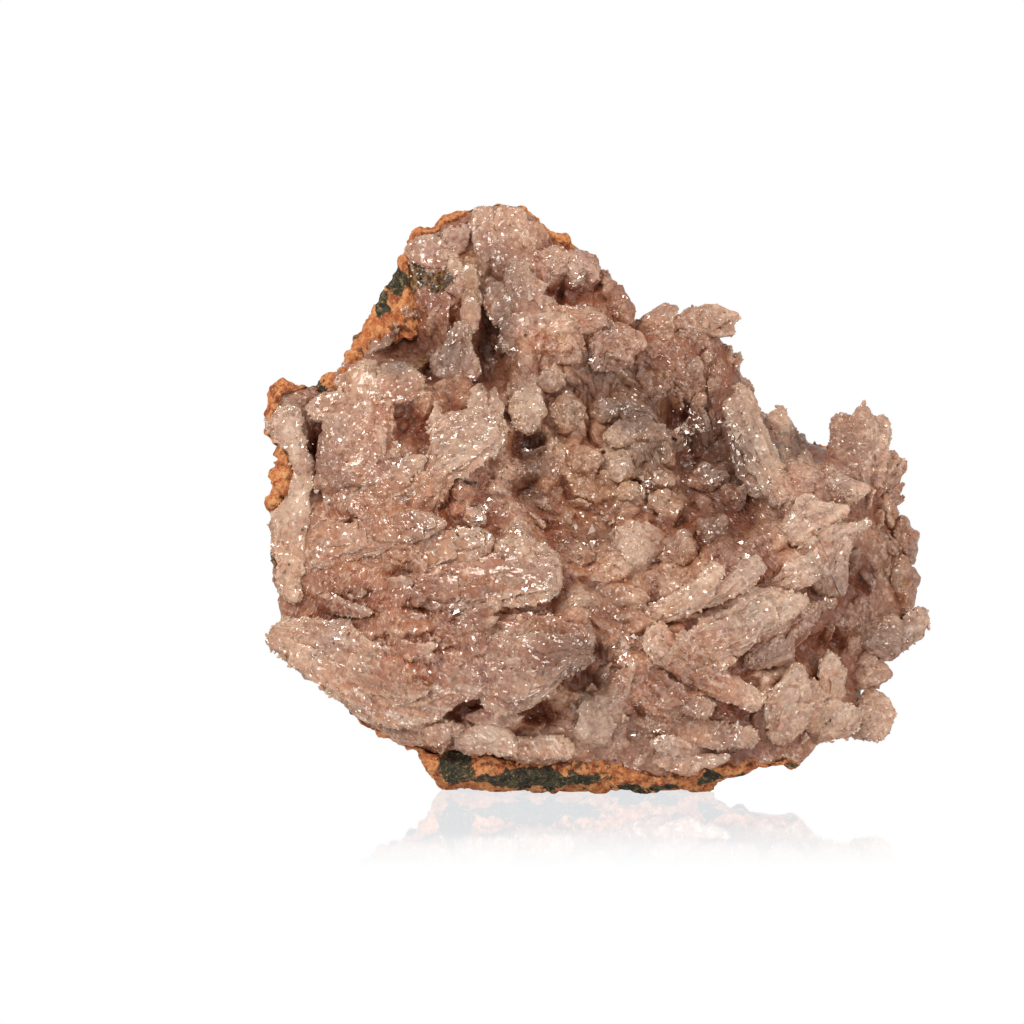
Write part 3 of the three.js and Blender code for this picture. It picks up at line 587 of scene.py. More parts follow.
            (-14.4, 11.2), (-12.3, 9), (-12.4, 6.9), (-17, 6.4), (-20.4, 7), (-20.2, 9.4), (-17, 10.8),
        ]),
        ((-12, 7.5, 0.2), (-4, 7.6, 1.2), 1.8, 0.6, [
            (-4.6, 9.2), (-3.2, 7), (-5, 5.8), (-12, 6.2), (-12.2, 8.6), (-8.5, 9.2),
        ]),
        ((1.5, 8, 0.2), (-1, 14.5, 1.8), 2.2, 0.6, [
            (-2.2, 14.6), (-0.4, 14.9), (1.6, 13.2), (2.4, 10.4), (1.2, 8.2), (-2, 8.4), (-3, 11.2),
        ]),
        ((-24.5, 8, 0.4), (-22, 10.6, 1.2), 1.4, 0.6, [
            (-21.5, 10.9), (-21.7, 8.6), (-23.3, 7.4), (-25, 8.2), (-24.8, 10.5),
        ]),
        ((9, 4.6, 0.4), (19, 6, 1.8), 2.2, 0.85, [
            (19.3, 6.2), (18.5, 5), (16, 4.2), (12.5, 3.2), (9.8, 4), (8.3, 5.6), (9.5, 6.9), (14, 6.4),
        ]),
        ((5, 20, -0.5), (16, 12, 2.8), 2.0, 0.4, [
            (4.4, 21), (6, 20.6), (9, 19), (13, 16), (17, 13.6), (16, 11.6), (12, 12.4), (7, 14.5),
            (2.5, 17.5), (2.6, 20),
        ]),
        ((13, 18, 0), (24, 14, 2.6), 1.8, 0.55, [
            (11.5, 18.6), (15, 19.6), (19, 18.6), (22.5, 17), (24.8, 14.6), (23.4, 12.8), (19.5, 13.6),
            (15, 15.4), (12.6, 16.8),
        ]),
        ((10, 12, -0.3), (22.5, 8.4, 2.4), 1.8, 0.35, [
            (8, 13.6), (13, 12.4), (19, 10.6), (23.5, 9.6), (23, 7.4), (17, 7.2), (11, 8.6), (7.5, 11),
        ]),
    ],
    "right_pinnacles": [
        ((28, 43, 0.4), (21.4, 60, 5.5), 2.4, 0.8, [
            (21.3, 60.3), (22.4, 59.3), (23.6, 58), (24.2, 55.5), (25.8, 52), (27.7, 48), (29, 44), (26, 42),
            (23.5, 46), (21.5, 50), (20, 54), (19.3, 57), (20.4, 58),
        ]),
        ((30, 43, 0.4), (28.2, 56.5, 3.8), 2.4, 0.75, [
            (28.3, 56.5), (29.7, 52.5), (30.8, 49.3), (32.4, 48.4), (33, 46), (31.1, 42.6), (25.8, 43.4),
            (24.4, 48.9), (25.8, 53.6), (27, 55.8),
        ]),
        ((31, 44, 0.4), (31.4, 50, 2.2), 1.6, 0.5, [
            (31.3, 50.2), (32.6, 48.6), (33, 46), (31.5, 44), (29.6, 45), (29.8, 48),
        ]),
        ((24.5, 44, 0), (20.2, 54, 2.8), 1.4, 0.4, [
            (20, 54.4), (21.5, 51), (23.6, 47.6), (25.5, 44.5), (23.5, 43.6), (21.6, 46.4), (20.2, 50),
        ]),
    ],
    "crown": [
        ((-16.4, 79, -0.4), (-16.4, 86.6, 1.2), 2.0, 0.7, [
            (-18.3, 86.4), (-15.6, 86.6), (-15, 84), (-14.8, 79.6), (-17.6, 78.6), (-18.6, 82),
        ]),
        ((-12.5, 79, -0.4), (-12.4, 86.6, 1.4), 2.2, 0.75, [
            (-14.6, 86.4), (-12, 86.8), (-10.2, 85.6), (-10.6, 82.6), (-11.6, 79.6), (-14, 79.2), (-14.8, 83),
        ]),
        ((-9, 80.2, -0.4), (-8.4, 84.2, 1.0), 1.8, 0.6, [
            (-10.6, 84.2), (-8.4, 84.2), (-6.8, 82.2), (-7, 80.6), (-10.8, 80.4),
        ]),
        ((-10, 69.5, -0.4), (-9.5, 78.4, 2.6), 1.8, 0.7, [
            (-12.4, 78.6), (-10, 78.4), (-8.8, 76.4), (-7.3, 75.4), (-7.8, 73.6), (-6, 73.2), (-5, 71),
            (-8, 69), (-12.5, 70), (-13.6, 74),
        ]),
        ((-3, 68.2, 0.2), (-0.8, 71.6, 2.2), 1.8, 0.7, [
            (-5, 72), (-1.5, 71.6), (1.2, 71), (1.2, 69), (-2, 67.8), (-6, 69.4),
        ]),
        ((-25.5, 77.8, -0.2), (-25, 82.6, 1.2), 2.2, 0.5, [
            (-27, 82.2), (-24, 82.6), (-22.2, 80.8), (-23, 77.6), (-26.5, 78.2), (-28.2, 80),
        ]),
        ((-21, 80, 0), (-21, 83.6, 1.4), 1.8, 0.5, [
            (-22.4, 83.4), (-19.4, 83.6), (-19.6, 80.6), (-21, 79.6), (-23, 81),
        ]),
        ((-20.4, 72.5, 0.6), (-21.3, 79.7, 3), 1.8, 0.85, [
            (-21.4, 79.8), (-20.3, 78.6), (-19.4, 75.6), (-19.8, 73), (-21.4, 73.6), (-22.6, 76.6),
        ]),
        ((-18.6, 73, 0.6), (-18.8, 78.2, 2.6), 1.8, 0.75, [
            (-19.4, 78.3), (-17.8, 77.6), (-17.6, 75), (-18.2, 73), (-19.6, 73.6), (-20, 76),
        ]),
        ((-18.6, 68, 0.6), (-18.4, 73.4, 2.6), 1.8, 0.7, [
            (-19.2, 73.5), (-17.6, 72.8), (-17.2, 70.5), (-18, 68), (-19.8, 68.6), (-20, 71.6),
        ]),
        ((-20.5, 61, -0.8), (-19.3, 69.4, 1.8), 1.8, 0.35, [
            (-19.6, 69.8), (-18.3, 68), (-17.9, 65.6), (-16.6, 62.2), (-19, 60.6), (-23, 61.4), (-24.4, 63.5),
            (-22.5, 66.4), (-21, 69),
        ]),
        ((-14.4, 69, -0.2), (-14.6, 75.6, 1.2), 2.2, 0.3, [
            (-16.4, 74.6), (-14.5, 75.8), (-12.6, 73.8), (-12.8, 70.4), (-15, 69), (-16.6, 71.4),
        ]),
    ],
    "upper_middle": [
        ((-8, 63.6, -0.8), (-8, 71, 2.2), 2.0, 0.4, [
            (-8.5, 71.2), (-5, 71), (-2.6, 69), (-1.8, 66), (-3.4, 63.6), (-8, 63.4), (-12.6, 64.4),
            (-14.1, 66.5), (-13.6, 70),
        ]),
        ((14.5, 67.8, 0), (18.5, 71.2, 1.6), 2.2, 0.95, [
            (21.2, 69.9), (20.4, 68), (20.2, 66.5), (18, 66.8), (15, 68), (12.4, 69), (12.6, 70.6),
            (15, 71.7), (17.6, 72), (19.6, 71),
        ]),
        ((9.4, 67.6, 0), (9.6, 71.2, 1.2), 2.0, 0.6, [
            (6.6, 70.4), (8.6, 71.2), (10.6, 71.5), (12.6, 70.2), (11.5, 68), (7.4, 67.6),
        ]),
        ((2.5, 62.8, -0.8), (2.5, 68.6, 1.4), 1.8, 0.3, [
            (0, 68), (3, 68.8), (5.4, 67.4), (5.6, 63.6), (2.4, 62.2), (-1, 63.2),
        ]),
        ((10.4, 53, 0.2), (3.5, 54.8, 2.6), 1.8, 0.7, [
            (1, 53.4), (4, 55), (7.4, 54.9), (9.6, 53), (11, 49.4), (9.6, 48.4), (7.6, 50), (4.5, 51.4),
            (1.6, 51.6),
        ]),
        ((-10.4, 53, 1.2), (-10.3, 60.3, 4), 3.0, 0.8, [
            (-10.6, 60.4), (-8.9, 59.6), (-8, 57.8), (-8.2, 56), (-8.8, 54.5), (-10, 53.2), (-11.8, 54),
            (-12.8, 56.8), (-12.2, 59.2),
        ]),
        ((-7, 59.4, 0.4), (-7, 62.8, 2), 2.0, 0.9, [
            (-7.2, 62.9), (-5.5, 61.6), (-5.3, 60), (-7, 59.3), (-9.1, 60.6), (-8.4, 62),
        ]),
    ],
}

RIBBED = ("left_hand", "left_sweeps", "right_fan", "lower_right", "right_pinnacles")  # plates that carry ribs

# Blades between and beside them: root x, root z, tip x, tip z, width, thickness, height of the root
# and of the tip above the face, roll about the length in degrees, and width share at the tip.
BLADES = {
    "left_blades": [
        (-36, 41, -25, 50, 5.0, 2.2, -0.4, 2.0, -15, 0.5), (-42, 29, -33, 27.0, 3.0, 1.6, 0, 0.8, 20, 0.5),
        (-38, 28, -25, 29.6, 4.0, 1.8, 0, 2.0, 10, 0.5), (-30, 21, -23.5, 22.5, 3.0, 1.6, 0.6, 2.6, 0, 0.4),
        (-20, 25, -14, 29, 3.5, 1.6, 0.6, 2.6, 0, 0.4), (-33, 15, -24.5, 16, 3.4, 1.6, 1.0, 2.2, 0, 0.4),
    ],
    "upper_blades": [
        (2, 63, 1.0, 70.5, 4.5, 2.4, 0, 1.2, 5, 0.6), (6, 63, 7.5, 70.0, 4.0, 2.2, 0, 1.2, -10, 0.5),
        (11, 62, 10.3, 69.6, 3.6, 2.2, 0, 1.0, 10, 0.5), (18, 60, 20.6, 66.0, 3.4, 2.0, 0, 1.0, -20, 0.4),
        (14, 58, 15.5, 64.5, 3.6, 2.0, 0, 1.6, 10, 0.5), (34, 43, 35.2, 48.4, 3.4, 1.6, 0, 1.6, 10, 0.6),
        (37, 43, 38.7, 47.4, 3.2, 1.6, 0, 1.6, -10, 0.6),
        (39.5, 41.5, 41.6, 44.8, 3.0, 1.5, 0, 1.6, -25, 0.6),
        (41, 38.5, 43.2, 41.5, 2.8, 1.5, 0, 1.5, -30, 0.5), (37, 44, 37.6, 55.6, 5.0, 3.4, 0, 1.5, 0, 0.7),
        (39, 44, 40.6, 57.0, 4.8, 3.4, 0, 1.8, 0, 0.7), (41, 44, 43.6, 55.4, 3.6, 2.8, 0, 1.2, 10, 0.7),
        (41, 42, 45.3, 50.0, 3.4, 2.4, 0, 0.8, -10, 0.5), (42, 41, 46.7, 45.4, 2.8, 2.0, 0, 0.6, 10, 0.3),
    ],
    "lower_blades": [
        (14, 24.5, 22.5, 29.4, 3.8, 1.8, 0.6, 3.0, -10, 0.5),
        (8, 17.5, 20.6, 20.2, 4.0, 2.0, 0, 2.2, -10, 0.4), (24, 7, 26.0, 15.5, 4.0, 2.2, 0, 2.0, 15, 0.45),
        (31, 7.4, 38.5, 9.8, 3.0, 2.0, 0, 2.0, 10, 0.5), (38, 9.6, 42.4, 7.8, 2.8, 1.8, 0, 1.2, 10, 0.6),
        (41, 19.2, 47.6, 21.6, 2.4, 1.6, 0, 1.0, 10, 0.4),
        (41.5, 38.5, 45.4, 34.9, 2.2, 1.6, 0, 1.6, 20, 0.5),
        (44.8, 36.5, 45.2, 30.0, 2.2, 1.6, 0.8, 1.4, 20, 0.6),
        (45.0, 31.5, 46.8, 25.6, 2.2, 1.6, 0.8, 1.0, 20, 0.5),
        (1, 12.5, 5.5, 20.0, 4.0, 2.0, 0, 2.2, -15, 0.4), (20, 5.6, 8, 8.2, 4.0, 2.2, 0.2, 1.6, 5, 0.5),
        (24, 19, 28.5, 23.5, 3.4, 1.6, 0, 1.6, 10, 0.4), (-24, 9.5, -14, 9.0, 3.4, 2.0, 0.2, 1.2, 0, 0.6),
    ],
}

# Rounded knobs: x, z, height of the centre above the face, and half sizes along x, y and z.
KNOBS = [
    (-36.5, 51, 0, 5.2, 2.4, 6.5), (-38, 46.5, 0, 3.0, 2.0, 3.0), (-33.5, 54.5, 0, 3.5, 2.0, 4.0),
    (-34, 62, 0.4, 2.6, 2.2, 2.4), (-27.4, 71.2, 0.6, 2.0, 1.8, 1.8),
    (-19, 76.9, 1.2, 1.8, 1.8, 2.6), (-18.4, 72, 1.4, 1.4, 1.6, 2.6), (-6, 78.6, 1.6, 4.2, 3.4, 2.6),
    (-1.9, 77, 1.2, 2.6, 3.0, 3.4), (1.2, 74.6, 0.2, 2.2, 3.0, 2.8), (3.6, 71.4, 0.2, 2.4, 3.0, 3.2),
    (-11.5, 67.8, 0.8, 3.2, 2.0, 3.4), (-6.2, 67.6, 1.2, 4.2, 2.2, 3.8), (-2, 70.4, 0.4, 3.0, 1.8, 2.0),
    (3.2, 66.3, 0.2, 4.2, 2.0, 3.8), (9, 68.8, 0.3, 3.0, 2.4, 2.2), (16.2, 69.2, 0.8, 4.2, 3.0, 2.6),
    (-6.6, 61.4, 1.4, 1.9, 1.8, 2.0), (-10.3, 57.2, 2.6, 2.4, 2.6, 3.6),
    # stalactite heads inside the pocket
    (-5, 55.9, 1.4, 3.2, 3.0, 3.2), (2, 56.5, 0.6, 3.0, 2.0, 2.4), (7.2, 53, 2.0, 4.0, 3.0, 2.4),
    (10.2, 50.4, 2.2, 1.6, 2.0, 2.6), (3.2, 48.7, 2.4, 2.6, 2.8, 2.7), (-2.6, 49.2, 1.8, 3.2, 2.6, 2.2),
    (9.6, 46.2, 2.2, 2.6, 2.6, 2.2), (10.4, 42.4, 2.6, 2.2, 2.6, 2.3), (5, 44.4, 2.2, 2.2, 2.2, 1.7),
    (5.4, 36.5, 2.2, 3.7, 3.4, 3.7), (12.4, 35.8, 2.0, 3.0, 3.0, 3.0), (17, 38.5, 1.6, 2.4, 2.6, 2.7),
    (-3.5, 35.5, 1.4, 3.2, 2.4, 2.0), (1.5, 33.3, 1.6, 2.4, 2.2, 2.2), (-2.4, 28.4, 2.8, 2.3, 2.2, 2.2),
    (4.6, 28.8, 2.4, 2.7, 2.4, 2.6), (17, 46.2, 1.2, 3.2, 2.4, 2.2),
    # smooth knobs on the right, small ones on the left
    (36, 44.6, 0.8, 4.2, 2.2, 2.7), (41, 22.6, 0.4, 5.4, 2.6, 3.4), (39.6, 17.8, 0.1, 3.6, 1.8, 2.6),
    (41.8, 16.2, 0, 1.7, 1.6, 1.9), (46.4, 36.4, 0, 2.1, 3.5, 3.1), (46.2, 30.2, 0, 2.2, 3.5, 4.0),
    (43.6, 41.0, 0, 2.2, 3.0, 2.6), (-18, 40.8, 2.0, 1.9, 1.6, 1.7), (-11.6, 39.6, 2.0, 1.6, 1.5, 1.7),
    (-13, 47.8, 1.4, 2.2, 1.8, 1.8),
]

# Pockets sunk into the face: x, z, half sizes along x and z, and depth.
POCKETS = [
    (-28, 66.2, 3.6, 2.4, 3.2), (-24.6, 62.3, 1.6, 1.2, 2.4), (-15.8, 66, 2.2, 5.0, 3.4),
    (-40.6, 49.8, 1.6, 4.2, 3.5), (-28.3, 54.4, 2.8, 3.2, 2.2), (-4.5, 73.8, 3.8, 2.0, 2.4),
    (12.6, 55.5, 3.0, 3.6, 4.0), (15, 50.5, 4.0, 4.0, 3.6), (-10.2, 51.5, 2.2, 1.8, 3.5),
    (-10.6, 45.3, 2.0, 1.6, 2.6), (-7.2, 38.6, 2.4, 1.6, 2.4), (21, 40.8, 2.6, 2.2, 3.4),
    (15.6, 66, 1.6, 1.6, 1.6), (-18.8, 12.6, 2.8, 1.6, 2.6), (-8.6, 12.4, 3.0, 2.0, 3.8),
    (-2.6, 17.6, 3.6, 1.4, 2.6), (35, 22.6, 1.6, 1.6, 2.6), (25.5, 20.6, 3.4, 2.0, 2.0),
    (32.3, 50.2, 1.6, 1.4, 2.2), (38.5, 31.5, 2.4, 4.2, 1.6),
]

# Low swells of the mass: x, z, height and half width.
SWELLS = [
    (0.5, 15.5, 3.0, 2.5), (5, 21.5, 2.4, 2.0), (26, 17.5, 1.8, 3.0), (-6, 9, 1.2, 3.0), (33, 11, 1.5, 2.0),
]

# Places where clear crystals flash: x, z and how far they spread.
CLEAR_SPOTS = [
    (-17, 41, 2.0), (-12, 39, 1.8), (-13, 49, 1.8), (4.5, 23.5, 2.2), (-21.8, 52, 1.2), (-29.7, 50, 1.2),
    (14, 54, 1.4), (14, 48.7, 0.9), (22, 55, 1.6), (8, 45, 1.4), (22, 35.5, 1.4), (31, 34, 1.4),
    (-13, 66, 1.2), (-9, 73, 1.2), (-3, 76.5, 1.2), (20, 12, 2.0), (8, 9, 1.6), (-38, 24, 1.6),
    (-41, 20, 1.2), (35, 12, 1.4), (41, 12, 1.2), (-24.5, 81.5, 1.2), (-20, 28, 1.2), (-12, 29, 1.4),
    (0, 38, 2.2),
]
GROWTH = np.array(
    [row[:4] for group in BLADES.values() for row in group]
    + [(*root[:2], *tip[:2]) for group in PLATES.values() for root, tip, *_ in group]
)

rng = np.random.default_rng(41)


def encrusted(points, faces, lumps, crust, crust_size, seed):
    """Pushes each point out along its normal by soft lumps and by two sizes of crystals in the crust."""
    normal = normals_of(points, faces)
    push = lumps * rough(points, 3.6, 3, seed)
    small, large = facets(points, crust_size, seed), facets(points, 2.3 * crust_size, seed + 40)
    push += crust * (small + 1.5 * large - 0.6)
    return points + push[:, None] * normal


def across_face(along):
    """For a direction: the two directions square to it, sideways, and out of the face."""
    out = unit(np.array([0, -1, 0]) + along * along[1])
    return np.cross(along, out), out


def turned(side, out, degrees):
    """The two directions turned about the third."""
    turn = np.radians(degrees)
    return side * np.cos(turn) - out * np.sin(turn), out * np.cos(turn) + side * np.sin(turn)


def plate_rings(line, side, out, low, high, close, thick, seed):
    """Sections of a flat plate along a line: each reaches sideways from low to high, with notches of
    noise, and has a flat front with faint ribs, sharp sides and a swollen back. close is 1 along the
    plate and falls to 0 where it ends. Two thirds of the points of a section lie on its front."""
    rows = len(line)
    count = max(10, int(1.15 * (high - low).max() / GRAIN))
    front = np.linspace(0, np.pi, count, endpoint=False)
    behind = np.linspace(np.pi, TAU, max(5, count // 2), endpoint=False)
    phi = np.concatenate([front, behind])
    cosine, sine = np.cos(phi), np.sin(phi)
    track = columns(np.linalg.norm(line - line[0], axis=1), np.zeros(rows), np.full(rows, 7.3 * seed))
    notch = [
        0.4 * rough(track, 2.4, 3, seed + k) + 0.34 * np.abs(noise(track, 0.8, seed + 5 + k)) for k in (0, 1)
    ]
    middle, half = (high + low) / 2, np.maximum(0.05, (high - low) / 2)
    notch = np.where(cosine > 0, notch[0][:, None], notch[1][:, None]) * np.minimum(1, half[:, None] / 1.5)
    across = middle[:, None] + np.sign(cosine) * np.abs(cosine) ** 0.8 * (half[:, None] + notch)
    swell = np.where(sine > 0, 0.22 * (1 - cosine**4) ** 0.8, -0.78 * (1 - np.abs(cosine) ** 3) ** 0.8)
    blunt = (0.28 + swell) * thick

    def stretched(long, wide, apart):
        return columns(track[:, :1] / long + 0 * across, across / wide, np.full(across.shape, apart * seed))

    ribs = 0.14 * noise(stretched(6, 0.9, 3.1), 1.0, seed + 9) * (sine > 0)
    # The finish paints the pale streaks as painted highlights.
    streak = rough(stretched(3.5, 0.5, 5.7), 1.0, 2, seed + 21)
    height = (blunt + ribs + 0.06 * streak) * (0.3 + 0.7 * close[:, None])
    rings = line[:, None] + across[..., None] * side + height[..., None] * out
    # edge is 1 at a plate's sides and ends; the finish paints it paler, as painted glow through thin edges
    edge = np.maximum(np.abs(cosine) ** 8, (1 - close[:, None]) ** 1.5)
    return rings, edge, track[:, :1] / track[-1, 0] + 0 * edge, streak


def blade_rings(row, seed):
    """A blade from its row: the width swells from the root, narrows to a share of itself and closes in
    a quarter circle at the tip, and the whole is bowed a little."""
    x0, z0, x1, z1, width, thick, lift0, lift1, roll, tip_share = row
    start = np.array([x0, face_at(x0, z0) - lift0 + 2.0, z0])
    end = np.array([x1, face_at(x1, z1) - lift1, z1])
    length = np.linalg.norm(end - start)
    side, out = across_face((end - start) / length)
    side, out = turned(side, out, roll)
    t = np.linspace(0, 1, max(8, int(length / GRAIN)))
    tip = np.clip(1 - width * (0.25 + 0.5 * tip_share) / length, 0.5, 0.92)
    close = np.sqrt(np.maximum(0, 1 - (np.clip((t - tip) / (1 - tip), 0, 1)) ** 2))
    half = np.interp(t, [0, 0.08, 0.4, 1], [0.3, 0.75, 1, tip_share]) * close * width / 2
    bow = 0.06 * length * noise(np.array([3.7 * seed, 0, 0]), 1.0, seed)
    line = start + (end - start) * t[:, None] + (bow * np.sin(np.pi * t))[:, None] * out
    return plate_rings(line, side, out, -half, half, close, thick, seed)


def sides_of(outline, root, way, steps):
    """Sides of a drawn outline along a direction from the root. The curve is cut at its first and last
    point along it: gives the places of the steps between those, and where the two sides lie there."""
    knots = np.linalg.norm(np.roll(outline, -1, 0) - outline, axis=1)
    even, rows = np.linspace(0, 1, 400, endpoint=False), np.linspace(0, 1, len(outline) + 1)
    share = np.interp(even, np.append(0, knots.cumsum()) / knots.sum(), rows)
    curve = curve_at(outline, share) - root
    along, across = curve @ way, curve @ np.array([-way[1], way[0]])
    start = np.argmin(along)
    along, across = np.roll(along, -start), np.roll(across, -start)
    end = np.argmax(along)
    places = along[0] + (along[end] - along[0]) * (steps - 0.09 * np.sin(TAU * steps))
    one = np.interp(places, np.maximum.accumulate(along[: end + 1]), across[: end + 1])
    back = np.append(along[end:], along[0])[::-1]
    other = np.interp(places, np.maximum.accumulate(back), np.append(across[end:], across[0])[::-1])
    return places, np.minimum(one, other), np.maximum(one, other)


def drawn_rings(root, tip, thick, outline, seed, ribs):
    """A plate with a drawn outline: flat from the root's height to the tip's, and leaning sideways as
    the face under it does. A wide one has ribs, each a narrow plate that stands a bit proud of it."""
    outline = np.array(outline, float)
    start = np.array([root[0], face_at(root[0], root[1]) - root[2], root[1]])
    end = np.array([tip[0], face_at(tip[0], tip[1]) - tip[2], tip[1]])
    way = (end - start)[[0, 2]]
    length = np.linalg.norm(way)
    way /= length
    reach = np.ptp(outline @ way)
    steps = np.linspace(0, 1, max(10, int(1.3 * reach / GRAIN)))
    places, low, high = sides_of(outline, start[[0, 2]], way, steps)
    side, out = across_face((end - start) / np.linalg.norm(end - start))
    middle = outline.mean(0)
    left, right = middle - 2.5 * side[[0, 2]], middle + 2.5 * side[[0, 2]]
    slope = (face_at(*right) - face_at(*left)) / 5
    side, out = turned(side, out, np.degrees(np.arctan(slope)) * 0.8)
    seen = side[[0, 2]] @ np.array([-way[1], way[0]])
    low, high = np.sort([low / seen, high / seen], axis=0)
    line = start + (end - start) * (places / length)[:, None]
    share = (places - places[0]) / np.ptp(places)
    rings = [plate_rings(line, side, out, low, high, rounded(share, 0.12), thick, seed)]
    for k in range(min(ribs, int((high - low).mean() * reach / 22))):
        begin, middle, half = rng.uniform(0.02, 0.5), rng.uniform(0.2, 0.8), rng.uniform(0.14, 0.32)
        end = min(begin + rng.uniform(0.35, 0.6), 0.97)
        part = np.flatnonzero((share > begin) & (share < end))[::2]
        way = (share[part] - begin) / (end - begin)
        center, half = low + (high - low) * middle, np.clip((high - low) * half, 0.5, 2.4)
        proud = line[part] + (0.28 * thick + 0.2 + 0.4 * way)[:, None] * out
        low_side, high_side = (center - half)[part], (center + half)[part]
        close = rounded(way, 0.3)
        rings.append(plate_rings(proud, side, out, low_side, high_side, close, 0.4 * thick, seed + 300 + k))
    return rings


def rounded(share, part):
    """1 along a line and a quarter of an ellipse down to 0 over the last part of each of its halves."""
    return np.sqrt(np.clip(1 - (np.abs(2 * share - 1) - 1 + part).clip(0) ** 2 / part**2, 0, 1))


def ends(values):
    """Numbers for a tube's points: those of its rings, then the means for its two end points."""
    return np.concatenate([values.ravel(), values[:1].mean(1), values[-1:].mean(1)])


def add_rings(heap, plate, tone, crust=PLATE_CRUST):
    """Closes a plate's rings and adds them, with their edges, the way from root to tip, and their tone."""
    rings, edge, grow, streak = plate
    points, faces = tube(rings)
    paint = {"edge": ends(edge), "grow": ends(grow), "streak": ends(streak)}
    heap.add(points, faces, PLATE_LUMPS, crust, tint=tone, **paint)


def add_blade(heap, row, seed, companion=False):
    """A blade, and perhaps beside it a smaller one that grows along with it, a bit lower."""
    add_rings(heap, blade_rings(row, seed), rng.random())
    if not companion:
        return
    root, run = np.array(row[:2]), np.subtract(row[2:4], row[:2])
    width, thick, lift0, lift1, roll, _ = row[4:]
    square = np.array([-run[1], run[0]]) / np.hypot(*run)
    away = rng.choice([-1, 1]) * rng.uniform(0.2, 0.45) * width * square
    begin, reach = rng.uniform(0.0, 0.4), rng.uniform(0.6, 1.0)
    smaller = (
        *(root + run * begin + away), *(root + run * reach + 1.2 * away),
        width * rng.uniform(0.5, 0.85), thick * rng.uniform(0.7, 0.95), lift0 - 0.2,
        lift0 + reach * (lift1 - lift0) + rng.uniform(-1.0, 0.3), roll + rng.normal(0, 12), 0.7,
    )
    add_blade(heap, smaller, seed + COMPANION_SEED)


def add_knob(heap, row):
    """A ball stretched to its half sizes and swollen by noise of its own size: rings from pole to
    pole, the pole facing out."""
    x, z, lift, rx, ry, rz = row
    rows = max(12, int(2.4 * max(rx, rz) / GRAIN))
    around = max(16, int(4.4 * max(rx, rz) / GRAIN))
    theta = np.linspace(0, np.pi, rows + 2)[1:-1, None]
    phi = np.linspace(0, TAU, around, endpoint=False)
    facing = np.cos(theta) * np.ones_like(phi)
    way = columns(np.sin(theta) * np.cos(phi), -facing, np.sin(theta) * np.sin(phi))
    swell = 1 + 0.32 * rough(way + (x, 0, z), 0.8, 3, 8)
    ball = way * (rx, 0.7 * ry, rz) * swell[..., None]
    points, faces = tube(ball + (x, face_at(x, z) - lift * 0.45, z))
    facing = ends(np.clip(facing, 0, 1))
    # The pole facing out gets higher edge and grow numbers, which the finish paints paler: painted light.
    paint = {"edge": 0.2 * facing, "grow": 0.3 + 0.3 * facing, "streak": 0.0, "tint": rng.random()}
    heap.add(points, faces, *KNOB_PUSH, **paint)


def grain(x, z):
    """Direction in which the large blades lie near x, z: the mean of their doubled angles, each
    weighted by a bell curve of its distance, halved."""
    middle = (GROWTH[:, :2] + GROWTH[:, 2:]) / 2
    double = 2 * np.arctan2(GROWTH[:, 3] - GROWTH[:, 1], GROWTH[:, 2] - GROWTH[:, 0])
    near = bell(x, z, middle, 5.0) + 1e-9
    return 0.5 * np.arctan2((near * np.sin(double)).sum(-1), (near * np.cos(double)).sum(-1))


def shingles(x, z, size, seed):
    """Height of small plates that overlap like scales. Each cell of a square net has one, turned along
    the grain: it rises towards its tip and drops off beyond an ellipse, and the highest plate wins."""
    column, row = np.floor(x / size).astype(int), np.floor(z / size).astype(int)
    best = np.full(x.shape, -9.0)
    for i, j in np.ndindex(3, 3):
        cell = columns(column + i - 1, row + j - 1, np.zeros_like(row))
        flat, back = np.unique(cell.reshape(-1, 3), axis=0, return_inverse=True)
        luck = columns(*(lattice(flat, seed + k) for k in range(5)))
        cx, cz = (flat[:, 0] + luck[:, 0]) * size, (flat[:, 1] + luck[:, 1]) * size
        turn = grain(cx, cz) + 0.9 * (luck[:, 2] - 0.5)
        c, s, luck, cx, cz = (np.asarray(v)[back.ravel()] for v in (np.cos(turn), np.sin(turn), luck, cx, cz))
        dx, dz = x.ravel() - cx, z.ravel() - cz
        u, v = (c * dx + s * dz) / (0.95 * size), (c * dz - s * dx) / ((0.3 + 0.3 * luck[:, 3]) * size)
        height = luck[:, 4] + 0.3 * u - 0.15 * np.abs(v) - 2.5 * np.maximum(0, u**2 + v**2 - 0.6)
        best = np.maximum(best, height.reshape(x.shape))
    return np.maximum(best, -0.6)


def underlay(x, z):
    """How far the mass swells out under the blades, plates and knobs, which so grow out of it: along
    each one's line up to its last third, most of the way to its underside, and flat across it."""
    rows = [(*r[:4], r[6] - 2.0, r[7], r[4] / 2, r[5]) for group in BLADES.values() for r in group]
    for root, tip, thick, _, outline in (row for group in PLATES.values() for row in group):
        px, pz = np.array(outline, float).T
        area = abs(np.sum(px * np.roll(pz, -1) - pz * np.roll(px, -1))) / 2
        half = area / np.hypot(tip[0] - root[0], tip[1] - root[1]) / 2
        rows.append((*root[:2], *tip[:2], root[2], tip[2], min(half, 4.0), thick))
    rows += [(kx, kz, kx, kz + 0.01, 0.3 * lift + 0.4 * ry, 0.3 * lift + 0.4 * ry, 0.6 * (rx + rz) / 2, 0)
             for kx, kz, lift, rx, ry, rz in KNOBS]
    rows += [(sx, sz, sx, sz + 0.01, height, height, half, 0) for sx, sz, height, half in SWELLS]
    raised = np.zeros_like(x)
    for x0, z0, x1, z1, h0, h1, half, thick in rows:
        dx, dz = x1 - x0, z1 - z0
        t = np.clip(((x - x0) * dx + (z - z0) * dz) / (dx**2 + dz**2), 0, 0.7)
        off = np.hypot(x - x0 - t * dx, z - z0 - t * dz) / (half + 2.0)
        raised = np.maximum(raised, (h0 + (h1 - h0) * t - thick / 3) * np.exp(-off**4))
    return 0.75 * raised


